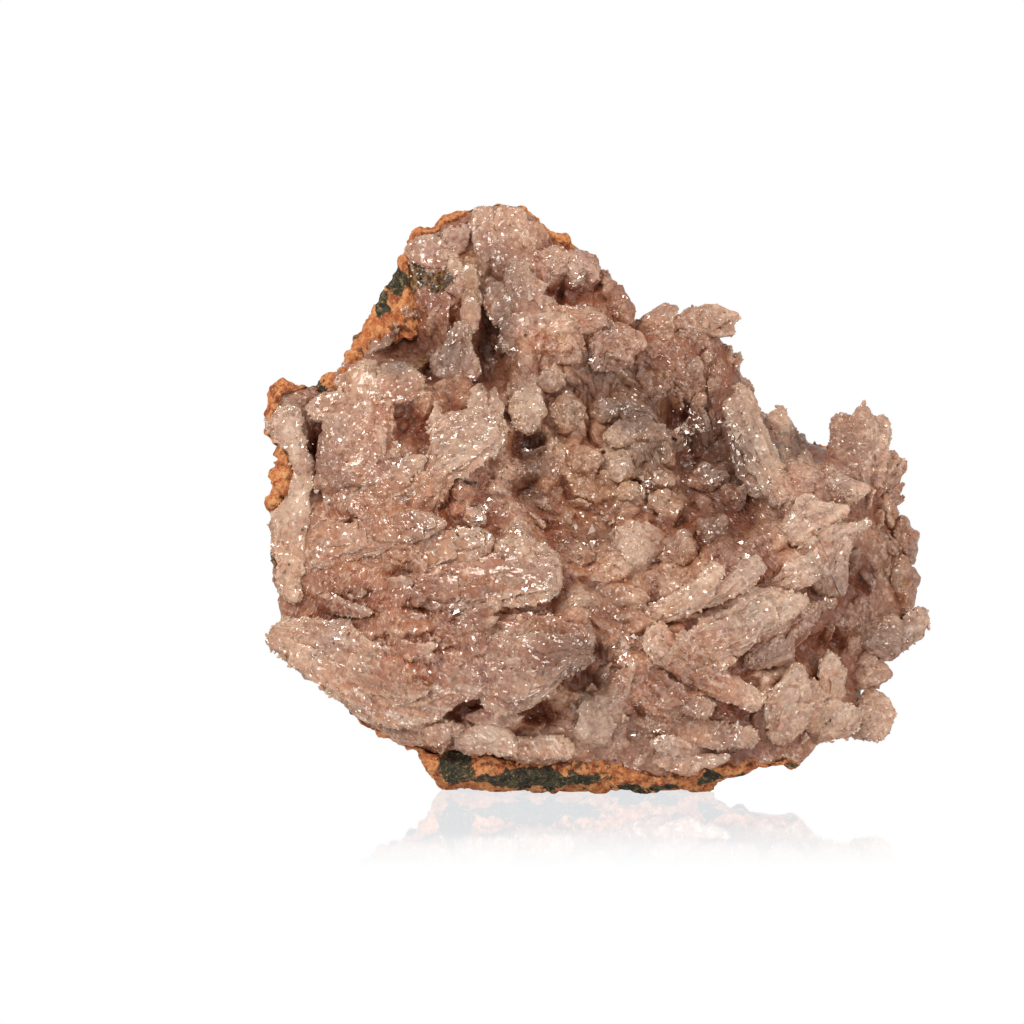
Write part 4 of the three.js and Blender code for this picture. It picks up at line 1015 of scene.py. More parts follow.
def quartz_mass(heap):
    """The mass that the blades stand on: a relief sheet in front, rings that close it behind."""
    rho, u = square_sheet(MASS_HALF)
    rim_x, rim_y, rim_z = quartz_rim(u)
    x, z = scaled(rim_x, rim_z, rho)
    y = face_depth(x, z, rim_y, rho)
    sunk = np.zeros_like(y)
    for px, pz, rx, rz, depth in POCKETS:
        off = ((x - px) / rx) ** 2 + ((z - pz) / rz) ** 2
        sunk = np.maximum(sunk, depth * np.exp(-0.8 * off**1.3))
    here = columns(x, 0 * y, z)
    wx, wz = wander(x, z, 0 * y, 2.5, 0.5, 77)
    relief = 1.0 * rough(here, 9.0, 3, 3) - 1.0 * shingles(wx, wz, 6.0, 51) - 0.45 * shingles(wx, wz, 2.6, 52)
    relief = relief - underlay(x, z)
    y = y + np.where(rho < 1, np.minimum(1, 4 * (1 - rho)), 0) * relief + sunk * (rho < 0.995)
    loop_u = border(MASS_HALF)[1]
    bx, by, bz = quartz_rim(loop_u)
    free = (rind_rims(loop_u)[0][1] - by) / RIND_SETBACK
    rings = []
    for down in np.linspace(0, 1, 19)[1:]:
        wx, wz = inset(bx, bz, free * (0.7 * np.sqrt(down) + 1.7 * down**2))
        rings.append(columns(wx, by + (0.4 + RIND_SETBACK * free) * down, wz))
    seat, wall = rings[-1].T, len(rings)
    for share in (0.04, 0.1, 0.2, 0.4, 0.8):
        rings.append(columns(*back_point(*seat, share, RIND_DEPTH + 0.9 - 1.5 * free)))
    points, faces = closed_sheet(columns(x, y, z), MASS_HALF, rings)
    first, last = y.size, y.size + wall * len(free)
    beside = np.zeros(len(points))
    beside[first:last] = np.tile(free, wall)
    push = (0.2 + 0.9 * beside, 0.18 + 0.3 * beside)
    heap.add(points, faces, *push, edge=0.0, grow=0.3, streak=0.0, tint=0.5)


def small_plates(heap, count):
    """Small plates that overlap all over the face, each along the nearest large blade's direction."""
    middle = (GROWTH[:, :2] + GROWTH[:, 2:]) / 2
    heading = unit(GROWTH[:, 2:] - GROWTH[:, :2])
    for k in range(count):
        rim_x, _, rim_z = quartz_rim(np.array([rng.random()]))
        rho = 0.97 * rng.random() ** 0.55
        here = np.array(scaled(rim_x[0], rim_z[0], rho))
        nearest = heading[np.argmin(np.linalg.norm(middle - here, axis=1))]
        turn = np.radians(rng.normal(0, 24))
        c, s = np.cos(turn), np.sin(turn)
        way = np.array([c * nearest[0] - s * nearest[1], s * nearest[0] + c * nearest[1]])
        length = rng.uniform(2.2, 6.0)
        start, end = here - way * length / 2, here + way * length / 2
        row = (
            *start, *end, rng.uniform(1.4, 3.2), rng.uniform(0.7, 1.3), rng.uniform(-0.6, 0.3),
            rng.uniform(0.2, 1.4), rng.uniform(-35, 35), rng.uniform(0.4, 0.9),
        )
        add_blade(heap, row, 400 + k)


def side_plates(heap, count):
    """Small plates that stand on the side, where the rock stops short behind the rim."""
    free = RIM_U[rim_at(RIM_U)[:, 3] < 0.1]
    for k, u in enumerate(rng.choice(free, count)):
        x, y, z = (v[0] for v in quartz_rim(np.array([u])))
        way = np.array([z - CORE[1], CORE[0] - x]) / polar(x, z)[0]
        x0, z0 = inset(x, z, rng.uniform(2.0, 3.2)) + way * rng.uniform(-1.5, 1.5)
        x1, z1 = inset(x, z, rng.uniform(0.8, 1.8)) + way * rng.uniform(-2.0, 2.0)
        depth = y + rng.uniform(0.5, 6.5)
        row = (
            x0, z0, x1, z1, rng.uniform(1.4, 3.4), rng.uniform(0.8, 1.6), face_at(x0, z0) + 2.0 - depth,
            face_at(x1, z1) - depth + rng.uniform(-0.5, 2.0), rng.uniform(-90, 90), rng.uniform(0.4, 0.9),
        )
        add_blade(heap, row, 900 + k)


def frames(axis):
    """Two directions square to each axis, at random round it."""
    side = unit(np.cross(axis, rng.normal(0, 1, axis.shape)))
    return side, np.cross(axis, side)


def flashing(normals, chosen):
    """Axes and sides for three-sided points. The chosen ones lie parallel, as neighbouring crystals
    do, within a few degrees: each turns one of its faces to FLASH, and leans with the surface."""
    axis = unit(normals + rng.normal(0, 0.4, normals.shape))
    side, _ = frames(axis)
    face = unit(FLASH + rng.normal(0, 0.11, normals.shape))
    lean = unit(normals - (normals * face).sum(1, keepdims=True) * face)
    parallel = np.cos(TIP_SLOPE) * face + np.sin(TIP_SLOPE) * lean
    toward = unit(face - (face * parallel).sum(1, keepdims=True) * parallel)
    across = np.cross(parallel, toward)
    axis = np.where(chosen[:, None], parallel, axis)
    side = np.where(chosen[:, None], 0.5 * toward - 0.866 * across, side)
    return axis, side, np.cross(axis, side)


def crystals(name, points, one, paint):
    """A heap of crystals from the corners of each (count, corners, 3) and the faces of one of them."""
    count, corners, _ = points.shape
    faces = np.where(one < 0, -1, one + corners * np.arange(count)[:, None, None]).reshape(-1, 4)
    heap = Heap(name)
    heap.add(points.reshape(-1, 3), faces, 0, 0, **{k: np.repeat(v, corners) for k, v in paint.items()})
    return heap.settle(0, 0)


def crystal_sizes(middle, count):
    """Sizes spread by about a third round a middle one."""
    return middle * np.exp(rng.normal(0, 0.3, count))


def quartz_points_three(places, normals, sizes, parallel, paint, name):
    """Corners of small crystals that stick out of the crust: a triangle sunk in the surface and an
    apex above it, about as blunt as a cube's corner. A share of them lies parallel."""
    axis, side, other = flashing(normals, rng.random(len(places)) < parallel)
    corners = [
        places - TIP_SUNK * sizes[:, None] * axis
        + TIP_WIDE * sizes[:, None] * (np.cos(turn) * side + np.sin(turn) * other)
        for turn in (0, TAU / 3, 2 * TAU / 3)
    ]
    tips = places + TIP_HIGH * sizes[:, None] * axis
    one = np.array([(0, 1, 3, -1), (1, 2, 3, -1), (2, 0, 3, -1), (2, 1, 0, -1)])
    return crystals(name, np.stack([*corners, tips], axis=1), one, paint)


def quartz_points_six(places, normals, sizes, stems, paint, name):
    """Six-sided quartz crystals: a prism from a sunk ring to a shoulder, and a six-sided tip."""
    axis = unit(normals + rng.normal(0, 0.4, normals.shape))
    side, other = frames(axis)
    places, axis, side, other = (v[:, None] for v in (places, axis, side, other))
    sizes, stems = sizes[:, None, None], stems[:, None, None]
    turns = np.arange(6)[:, None] * TAU / 6
    ring = 0.5 * sizes * (np.cos(turns) * side + np.sin(turns) * other)
    foot = places - 0.5 * sizes * axis + ring
    shoulder = places + stems * sizes * axis + 0.92 * ring
    skew = 0.18 * (np.arange(6)[:, None] % 2) * sizes * axis
    tips = places + (stems + 0.62) * sizes * axis + 0.1 * ring[:, :1]
    one = [(k, (k + 1) % 6, 6 + (k + 1) % 6, 6 + k) for k in range(6)]
    one += [(6 + k, 6 + (k + 1) % 6, 12, -1) for k in range(6)]
    one += [(3, 2, 1, 0), (5, 4, 3, 0)]
    return crystals(name, np.concatenate([foot, shoulder + skew, tips], axis=1), np.array(one), paint)


def scattered(heaps, count, edges=1.0, spots=()):
    """Random points of the heaps' surfaces that look forward or sideways, with normals and paint: more
    of them along edges and in drifts of noise, and none away from the spots where any are given."""
    points = np.concatenate([h.points for h in heaps])
    normals = np.concatenate([normals_of(h.points, h.faces) for h in heaps])
    paint = {k: np.concatenate([h.paint[k] for h in heaps]) for k in ("edge", "grow", "streak", "tint")}
    chance = np.clip(0.35 - normals[:, 1], 0, None) * np.clip(0.35 + rough(points, 3.5, 3, 640), 0.03, 1)
    chance = (chance + edges * paint["edge"]) * (points[:, 1] < 17)
    if spots:
        spots = np.array(spots)
        chance *= np.clip(bell(points[:, 0], points[:, 2], spots, spots[:, 2]).max(-1) - 0.15, 0, 1)
    chosen = rng.choice(len(points), count, replace=False, p=chance / chance.sum())
    return points[chosen], normals[chosen], {k: v[chosen] for k, v in paint.items()}


# ---- Host rock ----------------------------------------------------------------------------------------
def rind_rims(u):
    """Outer and inner rim of the rind. Where it shows, it is as wide as it shows, and elsewhere it
    stops short of the rim and behind it."""
    x, z, y, band = np.moveaxis(rim_at(u), -1, 0)
    x, z = wander(x, z, y, 5.0, 0.5, 5)
    near = [rim_at(u + shift)[..., 3] for shift in np.linspace(-0.01, 0.01, 5)]
    shows = np.mean([np.minimum(1, width / 0.5) for width in near], axis=0)
    back = RIND_SETBACK * (1 - shows)
    width = np.maximum(0.5, band * shows + RIND_HIDDEN * (1 - shows))
    drawn_in = RIND_INSET * (1 - shows) + RIND_TRIM * shows
    outer = inset(x, z, drawn_in)
    inner = inset(x, z, drawn_in + width)
    return (outer[0], y + back, outer[1]), (inner[0], y + back - 0.4, inner[1])


def rind(heap):
    """A bowl: a sheet over its outside, a rounded lip, and rings down its inside to a middle point."""
    rho, u = square_sheet(RIND_HALF)
    share = (1 - rho) ** 1.6
    (x, y, z), _ = rind_rims(u)
    px, py, pz = back_point(x, y, z, share, 0)
    low = np.clip(1 - np.maximum(0, pz - 1) / FOOT_REACH, 0, 1)
    under = np.clip(1 - np.maximum(0, np.abs(px - FOOT_MIDDLE) - FOOT_HALF) / FOOT_FADE, 0, 1)
    pz = np.maximum(0, pz - FOOT_DIP * low * under * np.minimum(1, share * 25))
    loop_u = border(RIND_HALF)[1]
    outer, inner = (columns(*rim) for rim in rind_rims(loop_u))
    over = np.linspace(0, 1, 9)[1:]
    bulge = np.sin(np.pi * over)[:, None, None] * np.array([0, -0.7, 0])
    lip = outer + (inner - outer) * over[:, None, None] + bulge
    depths = np.concatenate([0.05 * np.linspace(0.1, 1, 6) ** 2, [0.2, 0.5, 0.85]])
    inside = [columns(*back_point(*inner.T, depth, RIND_DEPTH)) for depth in depths]
    for ring in inside:
        ring[:, 2] = np.maximum(ring[:, 2], RIND_FLOOR)
    points, faces = closed_sheet(columns(px, py, pz), RIND_HALF, [*lip, *inside])
    lip_share = np.concatenate([
        -np.minimum(1, 8 * share).ravel(),
        np.repeat(over, len(loop_u)),
        np.ones(len(loop_u) * len(inside) + 1),
    ])
    heap.add(points, faces, *ROCK_PUSH, lip=lip_share)


# ---- Stained zones, painted light and painted shade -----------------------------------------------------
# Middle x, z and half sizes of soft patches, and how strong each is.
ZONES = {
    "rust": [
        (-34, 26.5, 4, 3, 0.9), (-30, 29, 12, 5, 0.55), (-23.5, 27.5, 4, 2.5, 0.9), (-37, 18, 10, 4, 0.4),
        (-26, 20, 10, 5, 0.55), (-41, 23.3, 1.8, 1, 1), (-23, 19.9, 1.5, 1, 1), (-33, 19, 5, 4, 0.4),
        (-25, 73.4, 3.6, 1.3, 1), (-21.6, 73, 1.6, 2.8, 1), (-42, 22, 4, 3, 0.5), (-34, 18, 5, 3, 0.5),
        (-2, 18, 5, 3, 0.8), (4, 15.5, 4, 3, 0.6), (26, 22, 6, 5, 0.6), (40, 34, 3, 4, 0.4),
        (-5, 28, 4, 3, 0.4), (-25, 8, 6, 4, 0.5), (22, 50, 3, 6, 0.4), (-14.5, 81.5, 1.2, 1, 0.9),
        (12, 36, 4, 3.5, 0.7), (17, 38.5, 3, 3, 0.6), (21, 53, 1.6, 5, 0.5), (-28.3, 54.4, 2.6, 3.4, 0.8),
        (-30, 40, 12, 6, 0.3), (4, 66, 6, 4, 0.35), (13.5, 23.5, 3, 1, 0.8), (-18.8, 12.6, 3.4, 2.2, 1),
        (-5.5, 10.5, 2.5, 1.5, 0.8), (5, 17, 5, 4, 0.4), (-3, 44, 4, 5, 0.4), (44, 44, 3, 3, 0.4),
    ],
    # pale pink patches, mostly painted light that brightens places lying in shadow
    "blush_and_painted_light": [
        (0, 15.5, 3.5, 3, 1), (26.5, 17, 5, 4, 1), (-7, 53, 4, 2.5, 0.8), (-4, 29, 5, 2, 0.9),
        (8, 33, 4, 4, 0.8), (28, 50, 2, 6, 1), (44, 34, 3, 5, 0.9), (-17, 45, 3, 3, 0.7),
        (-30, 35, 4, 3, 0.7), (6, 42, 3, 2, 0.5), (29, 30, 4, 2, 0.5), (-28, 9, 8, 4, 0.9),
        (-40, 16, 5, 4, 0.6), (-5, 8, 6, 2.5, 0.7), (40, 14, 4, 4, 0.8), (-28.5, 55, 2, 3, 0.6),
        (-27.5, 69, 3, 3, 0.8), (-17, 43, 3, 3, 0.4), (-41.5, 52, 2, 3, 0.8), (-32, 43.5, 9, 2, 0.4),
        (-34, 24, 4, 2, 0.5), (-44, 27, 3, 2, 0.5), (34, 20, 3, 2, 0.5), (-3, 75.5, 4, 1.5, 0.5),
        (40, 56.5, 6, 1.6, 0.8), (9, 70, 3, 1.5, 0.4), (-28, 79, 2, 3, 0.5), (-9, 9, 6, 2, 0.5),
        (5, 22, 3, 2, 0.9), (-42, 44, 2, 2, 0.6), (45, 48, 2, 4, 0.6), (-20, 9.5, 6, 2, 0.8),
        (20, 70, 3, 1, 0.6), (33, 11, 3, 3, 0.6), (38, 36, 6, 3, 0.3), (-33, 44, 6, 3, 0.3),
        (-10, 28, 5, 2, 0.3),
    ],
    "lilac": [
        (-13, 72, 4, 3, 0.4), (-31, 51, 4, 4, 0.4), (12, 31, 5, 2.5, 0.4), (22, 35, 5, 3, 0.5),
        (42, 53, 6, 4, 0.5), (-38, 52, 7, 9, 0.25), (-16, 80, 9, 7, 0.45), (-25, 81, 4, 3, 0.8),
        (-4, 77, 5, 4, 0.7), (36, 45, 4, 3, 0.8), (-6, 60, 7, 3, 0.5), (-13, 43, 5, 4, 0.5),
        (-15, 18.5, 6, 5, 0.6), (-38, 22.5, 3.5, 2.5, 0.5), (-18, 8.6, 4.5, 1.8, 0.8), (30, 28, 9, 8, 0.25),
        (42, 20, 6, 5, 0.5), (2, 11, 5, 4, 0.5), (16, 6, 7, 2, 0.6), (-21, 50.5, 4, 4, 0.5),
        (28, 13, 4, 4, 0.4), (-12, 71, 4, 5, 0.4),
    ],
    # smoky grey-brown, set on the pockets, so part smoky colour and part painted shade
    "smoke_and_painted_shade": [
        (4, 60, 9, 3.2, 0.8), (19, 50, 6, 6, 0.9), (6, 56.5, 6, 4, 1), (8, 50, 4, 3, 0.8),
        (-14, 75.5, 3.5, 5, 0.7), (-21.5, 65, 3, 4, 0.7), (18, 40.5, 4, 4, 0.5), (43, 23, 4, 3, 0.6),
        (36, 32, 4, 3, 0.3), (-9, 50, 3, 3.4, 0.8), (-10, 44.5, 2.6, 2, 0.7), (24, 43, 4, 4, 0.6),
        (-28, 65.5, 4, 3, 0.7), (-15.5, 66, 2.5, 5.5, 0.8), (30, 51.5, 3, 2.5, 0.8), (-2, 16, 5, 3.5, 0.5),
        (14, 44, 4, 4, 0.4), (-1.5, 30, 2.5, 2, 0.4), (25.5, 21, 4, 2, 0.4), (0, 22.5, 3, 2, 0.5),
    ],
    # brown: part brown stain and part painted shade, set on hollows, pockets and places that lie in shadow
    "brown": [
        (-20, 26, 5, 3, 0.55), (12, 17, 4, 3, 0.8), (37, 28, 5, 4, 0.65), (6, 57, 5, 3, 0.7),
        (-10, 33, 7, 3, 0.5), (-25, 30, 5, 3, 0.5), (18, 62, 5, 3, 0.5), (-22, 70, 3, 3, 0.6),
        (-38, 49, 2, 4, 0.5), (-24, 73, 3, 2, 0.5), (11.5, 52, 3, 3, 0.7), (45, 24, 3, 3, 0.5),
        (17, 12.5, 4, 2, 0.5), (20, 7.5, 4, 2, 0.7), (-3, 24, 4, 2, 0.6), (2, 66, 3, 5, 0.4),
        (-10, 13.5, 4, 2, 0.7), (37, 34, 3, 3, 0.5), (-19, 21, 4, 4, 0.3), (-28, 66, 4, 2.4, 0.8),
        (-15.5, 66, 2.2, 5.5, 0.9), (-12, 61.5, 3, 3, 0.8), (-4, 21.5, 6, 3.6, 1), (-20, 69, 2, 3, 0.5),
        (-22, 64, 3, 3, 0.4), (-17, 55, 4, 4, 0.4), (-28, 48.4, 4, 1.6, 0.5), (-39, 48, 2, 3, 0.5),
        (-26, 39.4, 3, 2, 0.6), (10, 38, 4, 2, 0.5), (24, 33.5, 3, 3, 0.5), (-36, 28, 3, 2, 0.5),
        (-17, 36, 5, 3, 0.3), (-11, 22, 8, 3, 0.3), (-19, 14, 3, 2, 0.4), (20, 27, 8, 3, 0.35),
        (32, 26, 3, 2, 0.4), (38, 46, 3, 2, 0.5), (-10, 13, 4, 3, 0.4), (22, 61, 3, 3, 0.4),
        (-26, 74, 3, 2, 0.4), (-11, 13, 3, 2, 0.6), (-18, 24, 4, 3, 0.4), (13, 14, 5, 3, 0.6),
        (19, 39, 4, 4, 0.7), (22, 35, 3, 3, 0.4), (-2, 39, 4, 3, 1), (21, 7, 4, 2.5, 0.6),
        (-15, 36, 5, 2, 0.4), (2, 27, 4, 2.5, 0.8), (3, 67.5, 3.5, 3, 0.6), (37, 50, 4, 3, 0.4),
        (-27, 60, 3, 2, 0.4), (22, 60, 2, 2, 0.5), (-38, 55, 2, 5, 0.3), (-21, 66, 3, 4, 0.3),
        (-20, 81, 4, 3, 0.3), (33, 51, 2, 2, 0.6), (15.5, 47, 4, 3, 0.5), (-18, 57, 5, 5, 0.3),
        (16, 64, 4, 2, 0.7), (-20, 28, 5, 3, 0.5), (37, 33, 3, 4, 0.5), (14, 7, 5, 2, 0.4),
        (-36, 69, 2, 2, 0.5), (-42, 57.5, 3, 2, 0.4), (-40.6, 50, 2, 5, 0.8), (12, 54, 4, 6, 0.7),
        (18, 51, 6, 5, 0.3), (-10, 50, 3, 6, 0.4), (-7, 40, 4, 5, 0.5), (41, 31, 4, 6, 0.6),
        (46, 34, 3, 8, 0.6), (-4.5, 73.5, 4, 2, 0.7), (26, 20.5, 5, 4, 0.35), (-8.6, 12, 3.5, 2.6, 0.7),
        (21, 41, 3, 3, 0.6), (3, 73, 3.5, 4, 0.5), (15, 63, 8, 6, 0.45), (-3, 18, 4, 1.6, 0.4),
        (6, 46, 10, 8, 0.2), (-20, 70, 5, 6, 0.35), (16, 46, 5, 6, 0.4), (-4, 18, 6, 6, 0.3),
    ],
    # chalky white: its own colour on the left band, the bottom lumps and the knob heads, and painted light on
    # places in shadow elsewhere
    "chalk_and_painted_light": [
        (28.5, 52.5, 1.6, 5, 0.7), (0.5, 16, 3, 3.5, 0.45), (26.5, 18, 4, 2.5, 0.45), (8.5, 31.5, 3, 4, 0.45),
        (-3, 30, 4, 2, 0.5), (-6.5, 53, 4, 2, 0.5), (7, 43, 4, 2, 0.4), (-19, 10, 4, 2, 0.5),
        (40, 41.5, 2, 2, 0.4), (43.5, 35, 2, 3, 0.4), (-16.5, 43, 2, 3, 0.4), (-43, 52, 1.5, 2, 0.5),
        (-8, 9, 5, 1.6, 0.4), (-46, 53, 3.5, 7, 1), (-45.5, 43, 3.2, 4, 0.9), (-16.5, 8.6, 4.5, 1.6, 0.9),
        (1, 9, 4, 3, 0.5), (5.4, 36.5, 3.4, 3.4, 0.9), (2.7, 48.9, 2.5, 2.7, 0.8), (18, 69.5, 4, 2.5, 0.5),
        (22, 27, 8, 2.6, 0.5), (40, 10, 5, 4, 0.5), (41, 52, 5, 6, 0.5), (24, 51, 4, 8, 0.45),
        (-10.3, 57.5, 3, 3.4, 0.6), (12, 6, 8, 2.5, 0.35), (33, 40, 6, 3, 0.5), (46, 23, 4, 3, 0.4),
        (-17, 55, 3, 5, 0.4), (-44, 21, 4, 3, 0.4), (-33, 64.5, 4, 3, 0.6),
    ],
    "green": [
        (-20.6, 3.8, 2.4, 2.2, 1), (-9, 2.4, 9.5, 1.5, 1), (4.5, 0.8, 2.5, 0.7, 0.9),
        (9.5, 0.8, 2.5, 0.7, 0.9), (16.8, 2.2, 2, 0.9, 1), (21.4, 2.4, 1.2, 0.6, 0.9),
        (23.8, 2.7, 1.2, 0.6, 0.9), (28.5, 3.6, 1, 0.6, 0.8), (-32.4, 73.6, 1.0, 3.2, 1),
        (-29.6, 75.4, 1.6, 1.3, 1), (-30.6, 77, 0.8, 2, 0.8), (-48.9, 35, 1.2, 1.8, 0.9),
        (-36, 11.5, 1.2, 0.8, 0.6), (-13, 87.2, 7, 0.5, 0.7), (-41, 60.2, 1.5, 0.5, 0.7),
    ],
    "olive": [(-27.4, 76.2, 3.4, 1.5, 1), (-24, 75.4, 1.8, 1.3, 0.8), (-26, 64, 2.2, 1.6, 0.5)],
    "honey": [
        (2, 47, 9, 10, 0.5), (-4, 57, 4, 3, 0.7), (-19.5, 76, 2, 4, 0.7), (-26, 64, 3, 2, 0.6),
        (8, 53, 5, 3, 0.4), (-12, 57, 3, 4, 0.3), (12.5, 35.5, 3, 3, 0.4),
    ],
    "pits": [
        (-18.6, 46.2, 0.5, 0.5, 1), (-19.4, 39.2, 0.7, 0.5, 1), (-43.7, 20, 0.35, 0.35, 1),
        (11.7, 16, 0.4, 0.3, 0.9),
    ],
}


NET, NET_CORNER, NET_SIZE = 0.5, (-60, -6), (240, 200)  # cells of the height map, mm: size, corner, how many


def cell_of(points):
    """Cells of the height map that the points lie in."""
    return tuple(((points[:, [0, 2]] - NET_CORNER) / NET).astype(int).T)


def height_map(heaps, reach):
    """Blurred height of the foremost surface over a net of cells in x and z: a bell curve of a reach."""
    points = np.concatenate([heap.points for heap in heaps])
    top = np.full(NET_SIZE, -99.0)
    np.maximum.at(top, cell_of(points), -points[:, 1])
    waves = np.fft.fftfreq(NET_SIZE[0])[:, None] ** 2 + np.fft.rfftfreq(NET_SIZE[1]) ** 2
    blur = np.exp(-2 * (np.pi * reach / NET) ** 2 * waves)
    met = top > -99
    known, total = (np.fft.irfft2(np.fft.rfft2(v) * blur, NET_SIZE) for v in (met, np.where(met, top, 0)))
    return total / np.maximum(known, 0.02)


def stains_and_painted_shading(points):
    """Strength of each stain at the points, some patches being painted light or painted shade rather than
    stain: the strongest of its patches, each a bell over an ellipse whose place noise shifts.
    Also how far the point stands out of the face (above 0) or lies in it, as relief, and out of the blurred
    height map, as nook: the finish paints both as painted light where proud and painted shade where sunk."""
    x, z = points[:, 0], points[:, 2]
    found = {}
    for name, patches in ZONES.items():
        shift, size = (0.9, 1.8) if name == "green" else (1.6, 5.0)
        sx = x + shift * rough(points, size, 3, 201)
        sz = z + shift * rough(points, size, 3, 202)
        worst = np.zeros(len(points))
        for px, pz, rx, rz, strength in patches:
            off = ((sx - px) / rx) ** 2 + ((sz - pz) / rz) ** 2
            worst = np.maximum(worst, strength * np.exp(-0.7 * off**1.4))
        found[name] = worst * (points[:, 1] < FRONT_LIMIT)
    inside = np.clip((1 - rim_by(x, z)[0]) / 0.04, 0, 1)
    found["relief"] = np.clip((face_at(x, z) - points[:, 1]) / 5, -1, 1) * inside
    found["nook"] = np.clip((-points[:, 1] - heights[cell_of(points)]) / 2.5, -1, 1) * inside
    return found


# ---- Materials ------------------------------------------------------------------------------------------
def srgb(red, green, blue):
    """A screen colour, 0 to 255, as the linear colour that a shader takes."""
    share = np.array([red, green, blue]) / 255
    linear = np.where(share <= 0.04045, share / 12.92, ((share + 0.055) / 1.055) ** 2.4)
    return (*linear.tolist(), 1.0)


class Value:
    """A shader socket that adds, takes away, multiplies and divides with numbers and other sockets."""

    def __init__(self, paint, socket):
        self.paint, self.socket = paint, socket

    def __add__(self, other):
        return self.paint.math("ADD", self, other)

    def __sub__(self, other):
        return self.paint.math("SUBTRACT", self, other)

    def __rsub__(self, other):
        return self.paint.math("SUBTRACT", other, self)

    def __mul__(self, other):
        return self.paint.math("MULTIPLY", self, other)

    def __truediv__(self, other):
        return self.paint.math("DIVIDE", self, other)

    __radd__ = __add__
    __rmul__ = __mul__


class Paint:
    """A material or a world under construction: node() makes any node, and the rest are short for it."""

    def __init__(self, name, kind="materials"):
        self.owner = getattr(bpy.data, kind).new(name)
        self.owner.use_nodes = True
        self.nodes, self.links = self.owner.node_tree.nodes, self.owner.node_tree.links
        self.nodes.clear()

    def node(self, kind, settings=None, output=0, **inputs):
        """A node of a type, with its settings and with numbers or sockets on its inputs, where n2 stands
        for input number 2. Gives one of its outputs, by number or by name."""
        made = self.nodes.new("ShaderNode" + kind)
        for key, value in (settings or {}).items():
            setattr(made, key, value)
        for key, value in inputs.items():
            socket = made.inputs[int(key[1:]) if key[1:].isdigit() else key.replace("_", " ")]
            if isinstance(value, Value):
                self.links.new(value.socket, socket)
            else:
                socket.default_value = value
        return Value(self, made.outputs[output]) if made.outputs else None

    def math(self, operation, first, second=0.0, clamp=False):
        return self.node("Math", {"operation": operation, "use_clamp": clamp}, n0=first, n1=second)

    def clamp(self, value):
        return self.math("MULTIPLY", value, 1.0, clamp=True)

    def number(self, name):
        """The painted number of that name."""
        return self.node("Attribute", {"attribute_name": name}, "Fac")

    def place(self):
        return self.node("TexCoord", output="Object")

    def noise(self, size, detail=4.0, rough=0.6, warp=0.0):
        """Noise from 0 to 1 with lumps of a size in millimetres."""
        how = {"Scale": 1 / (size * MM), "Detail": detail, "Roughness": rough, "Distortion": warp}
        return self.node("TexNoise", output="Fac", Vector=self.place(), **how)

    def cells(self, size, output="Color"):
        """Cells of a size in millimetres: a random colour for each, or the distance to its middle."""
        return self.node("TexVoronoi", output=output, Vector=self.place(), Scale=1 / (size * MM))

    def step(self, value, low, high):
        """0 below low, 1 above high, and smooth between."""
        smooth = {"interpolation_type": "SMOOTHSTEP"}
        return self.node("MapRange", smooth, Value=value, From_Min=low, From_Max=high)

    def mix(self, first, second, factor, blend="MIX"):
        settings = {"data_type": "RGBA", "blend_type": blend}
        return self.node("Mix", settings, 2, n0=factor, n6=first, n7=second)

    def layered(self, colour, *layers):
        """A screen colour with others over it, one after another, each with its strength."""
        colour = srgb(*colour)
        for tone, strength in layers:
            colour = self.mix(colour, tone if isinstance(tone, Value) else srgb(*tone), strength)
        return colour

    def vector(self, operation, first, second):
        return self.node("VectorMath", {"operation": operation}, n0=first, n1=second)

    def tilted(self, size, amount):
        """The surface's normal, turned at random in each cell, as small crystal faces turn it."""
        normal = self.node("NewGeometry", output="Normal")
        lean = self.vector("SUBTRACT", self.cells(size), (0.5, 0.5, 0.5))
        turned = self.vector("ADD", normal, self.vector("MULTIPLY", lean, (amount, amount, amount)))
        return self.vector("NORMALIZE", turned, (0, 0, 0))

    def finish(self, shader, output="OutputMaterial"):
        """Puts the shader on the output and gives the finished material or world."""
        self.node(output, Surface=shader)
        return self.owner


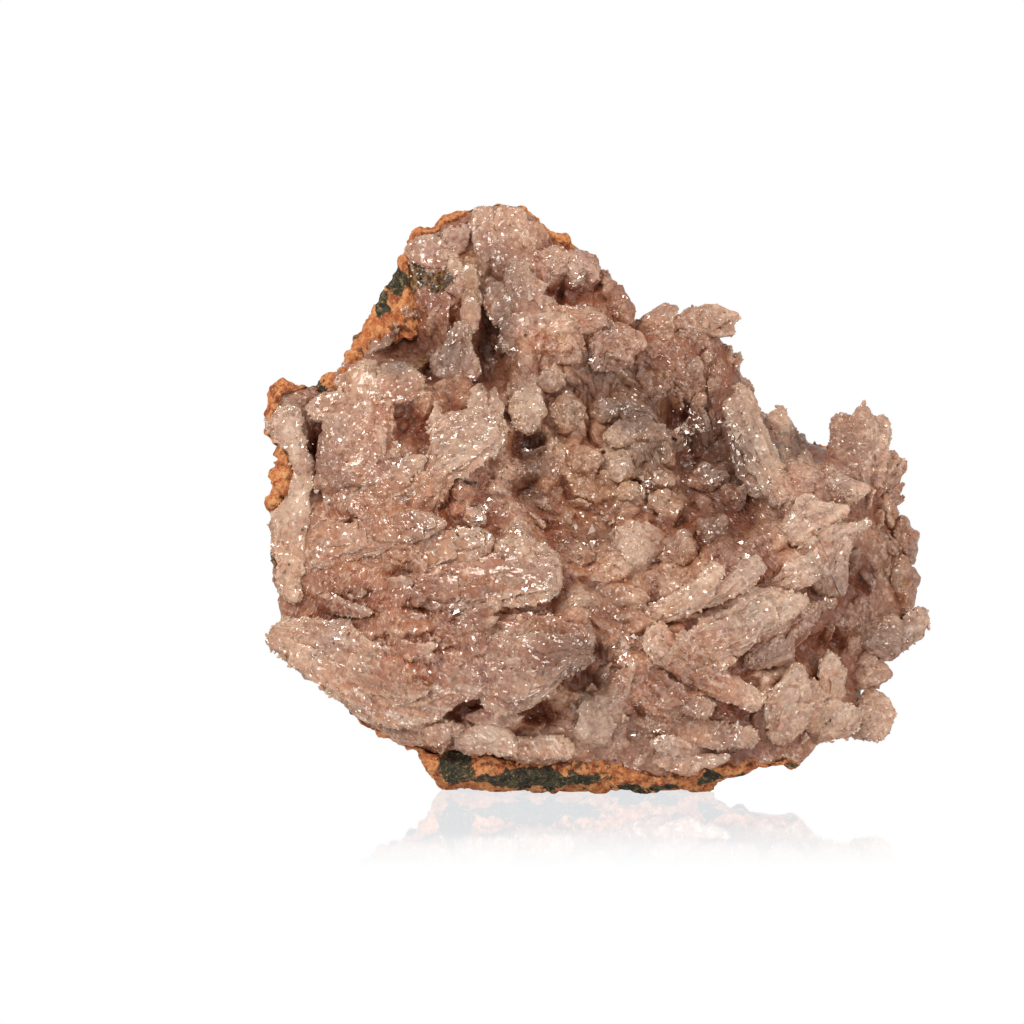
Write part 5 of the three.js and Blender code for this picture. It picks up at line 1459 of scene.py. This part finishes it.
def quartz_finish(name, reach, pale=0.0, grainy=True):
    """Druse: dusky pink, stained by rust, clay and smoky grey, with painted light and shade over it: edges,
    tips, raised parts and pale streaks are painted paler as glow and highlights, and sunken parts and nooks
    darker as shade.
    Light goes a little way into it, and here and there the small faces of its crust flash."""
    p = Paint(name)
    edge, relief, tint, grow, nook, streak = (
        p.number(name) for name in ("edge", "relief", "tint", "grow", "nook", "streak")
    )
    cloud = p.noise(6.0, 5.0)
    fine = p.noise(0.7, 4.0, 0.7)
    # lit is painted light: thin edges, parts standing well out of the face and the tips' pale share are
    # painted paler, as glow and as light falling there
    lit = p.clamp(edge * 0.8 + p.step(relief, 0.3, 1.0) * 0.2 + pale)
    # painted shade: parts sunk below the face are painted darker, together with the brown patches, which are
    # part brown stain and part painted shade
    painted_shade_and_brown = p.clamp(p.step(0 - relief, 0.0, 0.8) * 0.6 + p.number("brown") * 0.9)
    olive = p.layered((160, 122, 74), ((70, 48, 28), p.step(fine, 0.4, 0.56)))
    mossy = p.step(p.number("olive") + 0.6 * (fine - 0.5), 0.35, 0.6)
    speck = p.step(0 - p.cells(1.9, "Distance"), -0.15, -0.11) * p.step(p.noise(5.0, 2.0), 0.54, 0.62)
    colour = p.layered(
        (212, 160, 126),
        ((182, 114, 80), p.step(cloud, 0.35, 0.65)),
        ((204, 160, 136), p.step(p.noise(9.0, 3.0), 0.5, 0.66) * 0.7),
        ((172, 90, 50), p.clamp(p.number("rust") * (0.55 + 0.85 * cloud))),
        # pale pink patches, mostly painted light over places in shadow
        ((226, 180, 148), p.clamp(p.number("blush_and_painted_light") * (0.5 + 0.6 * fine))),
        ((176, 150, 146), p.clamp(p.number("lilac") * (0.5 + 0.5 * cloud))),
        ((186, 150, 104), p.clamp(p.number("honey"))),
        # chalky white, partly painted light
        ((234, 214, 198), p.clamp(p.number("chalk_and_painted_light") * (0.5 + 0.6 * fine))),
        ((218, 184, 158), p.step(tint, 0.55, 1.0) * 0.25),
        ((156, 98, 72), (1 - p.step(tint, 0.0, 0.5)) * 0.4),
        # painted shade: whatever does not stand well out of the face is painted browner
        ((140, 82, 56), (1 - p.step(relief, -0.2, 0.45)) * 0.4),
        ((160, 100, 74), (1 - p.step(grow, 0.0, 0.5)) * 0.25),
        ((240, 208, 184), p.step(grow, 0.5, 1.0) * (0.05 + 0.4 * tint)),
        # painted light: parts standing proud of their surroundings are painted paler
        ((226, 200, 186), p.step(nook, 0.1, 0.8) * 0.35),
        # painted light: the lit parts paler
        ((234, 208, 188), lit * (0.25 + 0.6 * tint)),
        # painted highlights: pale streaks along the plates; the dark streaks below darken the grain between
        # them
        ((244, 222, 206), p.step(streak, 0.15, 0.7) * 0.4),
        ((142, 84, 60), p.step(0 - streak, 0.2, 0.8) * 0.3),
        # painted glints: small bright specks, as sugar grains catching light
        ((250, 226, 204), p.step(p.noise(1.2, 5.0, 0.85, 0.6), 0.5, 0.63) * 0.7),
        # painted shade and brown stain
        ((112, 60, 36), painted_shade_and_brown * (0.4 + 0.8 * cloud)),
        # painted shade: nooks between pieces are painted dark red-brown
        ((126, 56, 28), p.step(0 - nook, 0.1, 0.8) * 0.6),
        # smoky grey-brown and painted shade in the pockets
        ((110, 84, 70), p.clamp(p.number("smoke_and_painted_shade") * (0.5 + 0.7 * cloud))),
        (olive, mossy),
        ((112, 62, 42), p.step(p.noise(0.9, 5.0, 0.85, 0.5), 0.53, 0.66) * 0.55),
        ((52, 24, 14), p.step(p.number("pits"), 0.45, 0.8)),
        ((60, 32, 22), speck * 0.8),
    )
    colour = p.mix(colour, (0.96, 0.88, 0.8, 1), 1.0, "MULTIPLY")
    body = {"Base_Color": colour, "Roughness": 0.3, "IOR": 1.54, "Subsurface_Weight": 0.85}
    body |= {"Subsurface_Radius": (1.0, 0.82, 0.7), "Subsurface_Scale": reach * MM}
    if not grainy:
        return p.finish(p.node("BsdfPrincipled", Coat_Weight=0.8, Coat_Roughness=0.06, **body))
    soft = p.node("BsdfPrincipled", Normal=p.tilted(1.2, 0.7), **body)
    faces = p.node(
        "BsdfPrincipled",
        Base_Color=colour,
        Roughness=0.14,
        IOR=1.9,
        Normal=p.tilted(0.5, 1.2),
        Coat_Weight=1.0,
        Coat_Roughness=0.06,
    )
    drift = p.step(p.noise(3.0, 3.0, 0.6), 0.42, 0.62)
    shiny = (0.5 + 0.4 * drift) * (0.2 + 0.8 * p.step(nook, -0.5, 0.0)) + 0.2 * p.step(streak, 0.2, 0.7)
    return p.finish(p.node("MixShader", n0=p.clamp(shiny) * (1 - 0.85 * mossy), n1=soft, n2=faces))


def clear_finish():
    """Clear to milky quartz: light goes through half of it, and its faces flash."""
    p = Paint("clear quartz")
    shader = p.node(
        "BsdfPrincipled",
        Base_Color=p.mix(srgb(240, 214, 194), srgb(206, 170, 148), p.noise(1.5)),
        Roughness=0.04 + 0.1 * p.noise(0.6),
        IOR=1.6,
        Transmission_Weight=0.3,
        Coat_Weight=0.8,
        Coat_Roughness=0.05,
    )
    return p.finish(shader)


def rock_finish():
    """Weathered host rock: brown-grey, orange along the lip where iron stained it, dark green patches."""
    p = Paint("weathered host rock")
    lip, moss = p.number("lip"), p.number("green")
    cloud, fine = p.noise(11.0, 6.0, 0.65), p.noise(1.3, 5.0, 0.75)
    grit = p.noise(0.7, 5.0, 0.85)
    near_lip = p.step(lip + 0.5 * (fine - 0.5), -0.75, -0.35)
    orange = p.layered(
        (240, 172, 112),
        ((204, 112, 58), p.step(fine, 0.36, 0.58)),
        ((142, 60, 30), p.step(p.noise(2.6, 4.0, 0.7), 0.5, 0.62) * 0.75),
    )
    dark = p.layered(
        (28, 28, 22),
        ((76, 74, 52), p.step(fine, 0.42, 0.6)),
        ((190, 160, 104), p.step(grit, 0.53, 0.64) * (0.3 + 0.5 * near_lip)),
    )
    seam = p.step(lip, 0.4, 0.7) * p.step(p.noise(1.0, 3.0), 0.5, 0.58)
    colour = p.layered(
        (138, 108, 82),
        ((92, 74, 58), p.step(cloud, 0.4, 0.6)),
        ((176, 104, 60), p.step(p.noise(8.0, 6.0, 0.7), 0.47, 0.62)),
        ((54, 60, 50), p.step(p.noise(15.0, 5.0, 0.6), 0.52, 0.6) * 0.85),
        (orange, near_lip),
        ((228, 190, 140), p.step(grit, 0.5, 0.66) * (0.2 + 0.4 * near_lip)),
        (dark, p.step(moss + 1.2 * (fine - 0.5), 0.35, 0.5)),
        ((60, 36, 26), p.step(0 - grit, -0.46, -0.36) * 0.75),
        ((64, 34, 22), seam * 0.8),
    )
    bump = p.node("Bump", Strength=0.8, Distance=0.0005, Height=fine + grit * 0.5)
    rough_part = 0.62 + 0.3 * fine
    return p.finish(p.node("BsdfPrincipled", Base_Color=colour, Roughness=rough_part, Normal=bump, IOR=1.5))


# ---- Pieces -----------------------------------------------------------------------------------------------
sugary = quartz_finish("sugary quartz", 3.0)
bladed = quartz_finish("bladed quartz", 0.4)
tips = quartz_finish("quartz tips", 0.3, pale=0.1, grainy=False)
clear = clear_finish()
rock = rock_finish()

heaps = []
mass = Heap("quartz_mass")
quartz_mass(mass)
heaps.append(mass.settle(CRUST["mass"], 11))
seed = 60
for group, rows in PLATES.items():
    heap = Heap(group)
    for root, tip, thick, tone, outline in rows:
        seed += 1
        ribs = RIBS if group in RIBBED else 0
        for k, plate in enumerate(drawn_rings(root, tip, thick, outline, seed, ribs)):
            crust = BAND_CRUST if group == "left_rim_bands" else PLATE_CRUST
            add_rings(heap, plate, (tone + rng.random()) / 2 if k else tone, crust=crust)
    heaps.append(heap.settle(CRUST["plates"], seed))
for group, rows in BLADES.items():
    heap = Heap(group)
    for row in rows:
        seed += 1
        add_blade(heap, row, seed, companion=True)
    heaps.append(heap.settle(CRUST["plates"], seed))
knobs = Heap("knobs")
for row in KNOBS:
    add_knob(knobs, row)
heaps.append(knobs.settle(CRUST["small"], 31))
plates = Heap("small_plates")
small_plates(plates, SMALL_PLATES)
side_plates(plates, SIDE_PLATES)
heaps.append(plates.settle(CRUST["small"], 77))
heights = height_map(heaps, SHELTER_REACH)
for heap in heaps:
    heap.build(sugary if heap is heaps[0] else bladed, "quartz_growth", "quartz")

places, normals, paint = scattered(heaps, SUGAR_TIPS)
sizes = crystal_sizes(SUGAR_SIZE, SUGAR_TIPS)
share = 1.1 * np.clip(0.15 + rough(places, 3.0, 3, 77), 0, 1)
sugar = quartz_points_three(places, normals, sizes, share, paint, "sugar_tips")
places, normals, paint = scattered(heaps, PRISMS)
sizes = crystal_sizes(PRISM_SIZE, PRISMS)
stems = rng.uniform(0.0, 0.7, PRISMS)
prisms = quartz_points_six(places, normals, sizes, stems, paint, "quartz_prisms")
places, normals, paint = scattered(heaps, CLEAR_CRYSTALS, edges=0.2, spots=CLEAR_SPOTS)
sizes = crystal_sizes(CLEAR_SIZE, CLEAR_CRYSTALS)
clears = quartz_points_three(places, normals, sizes, 0.5, paint, "clear_crystals")
for heap, finish in ((sugar, tips), (prisms, tips), (clears, clear)):
    heap.build(finish, "quartz_growth", "quartz")

bowl = Heap("host_rock")
rind(bowl)
bowl.settle(CRUST["rock"], 5).build(rock, "host_rock_rind", "host_rock")

# ---- Stage, light and camera ------------------------------------------------------------------------------
VIEW_MIDDLE = Vector((-12.45, 0, 41.25)) * MM  # point at the middle of the frame
VIEW_WIDTH = 153.6 * MM  # width of the frame at that point
CAMERA_DISTANCE = 900 * MM
CAMERA_RISE = np.radians(2.0)
ROOM_LIGHT = 0.57  # strength of the room's light
WARM = (1, 0.94, 0.88, 1)  # its colour
FLOOR_LIGHT = 0.95  # light that the floor gives back
MIRROR = 0.5  # strongest share of mirror in the floor
FADE_NEAR, FADE_FAR = -0.135, -0.06  # depths, in metres, between which the mirror sets in
FLOOR_HALF, FLOOR_DROP = 3.0, 0.00002  # half size of the floor and how far it lies below 0, in metres


def backdrop_finish():
    """White, with a faint mirror image that fades towards the viewer. What the mirror takes from the
    white it gets back from the room, so the floor has no edge; it lights the specimen only a little."""
    p = Paint("white floor")
    depth = p.node("SeparateXYZ", output="Y", Vector=p.place())
    mirror = MIRROR * p.step(depth, FADE_NEAR, FADE_FAR) * (1 - p.step(depth, 0.1, 0.5))
    seen = p.node("LightPath", output="Is Camera Ray")
    taken = p.vector("MULTIPLY", tuple(ROOM_LIGHT * share for share in WARM[:3]), mirror)
    colour = p.vector("SUBTRACT", (1, 1, 1), taken)
    white = p.node("Emission", Color=colour, Strength=seen / (1 - mirror) + (1 - seen) * FLOOR_LIGHT)
    gloss = p.node("BsdfAnisotropic", Color=(1, 1, 1, 1), Roughness=0.03)
    return p.finish(p.node("MixShader", n0=mirror, n1=white, n2=gloss))


def stage():
    """A square floor a hair below z = 0."""
    mesh = bpy.data.meshes.new("floor")
    corners = [(FLOOR_HALF * x, FLOOR_HALF * y, 0) for x, y in ((-1, -1), (1, -1), (1, 1), (-1, 1))]
    mesh.from_pydata(corners, [], [(0, 1, 2, 3)])
    floor = bpy.data.objects.new("floor", mesh)
    floor.location.z = -FLOOR_DROP
    bpy.context.scene.collection.objects.link(floor)
    floor.data.materials.append(backdrop_finish())


def soft_light(name, place, power, size):
    """A square soft box aimed at the middle of the specimen."""
    light = bpy.data.lights.new(name, "AREA")
    light.energy, light.size, light.color = power, size, WARM[:3]
    lamp = bpy.data.objects.new(name, light)
    lamp.location = Vector(place) * MM
    lamp.rotation_euler = (Vector((0, 0, CORE[1] * MM)) - lamp.location).to_track_quat("-Z", "Y").to_euler()
    bpy.context.scene.collection.objects.link(lamp)


def world():
    """A white room: plain white behind the specimen, and a weaker white light from all round."""
    p = Paint("white room", "worlds")
    lit = p.node("Background", Color=WARM, Strength=ROOM_LIGHT)
    behind = p.node("Background", Color=(1, 1, 1, 1), Strength=1.0)
    seen = p.node("LightPath", output="Is Camera Ray")
    bpy.context.scene.world = p.finish(p.node("MixShader", n0=seen, n1=lit, n2=behind), "OutputWorld")


def camera():
    """A long lens that looks a little down at VIEW_MIDDLE and takes in VIEW_WIDTH there."""
    lens = bpy.data.cameras.new("camera")
    lens.sensor_width = 36
    lens.lens = lens.sensor_width * CAMERA_DISTANCE / VIEW_WIDTH
    lens.clip_end = 20
    eye = bpy.data.objects.new("camera", lens)
    away = Vector((0, -np.cos(CAMERA_RISE), np.sin(CAMERA_RISE)))
    eye.location = VIEW_MIDDLE + CAMERA_DISTANCE * away
    eye.rotation_euler = (-away).to_track_quat("-Z", "Y").to_euler()
    bpy.context.scene.collection.objects.link(eye)
    bpy.context.scene.camera = eye


stage()
world()
camera()
soft_light("key", (-320, -420, 480), 2.2, 0.2)
soft_light("fill", (420, -300, 160), 0.7, 0.3)
bpy.context.scene.view_settings.view_transform = "Standard"
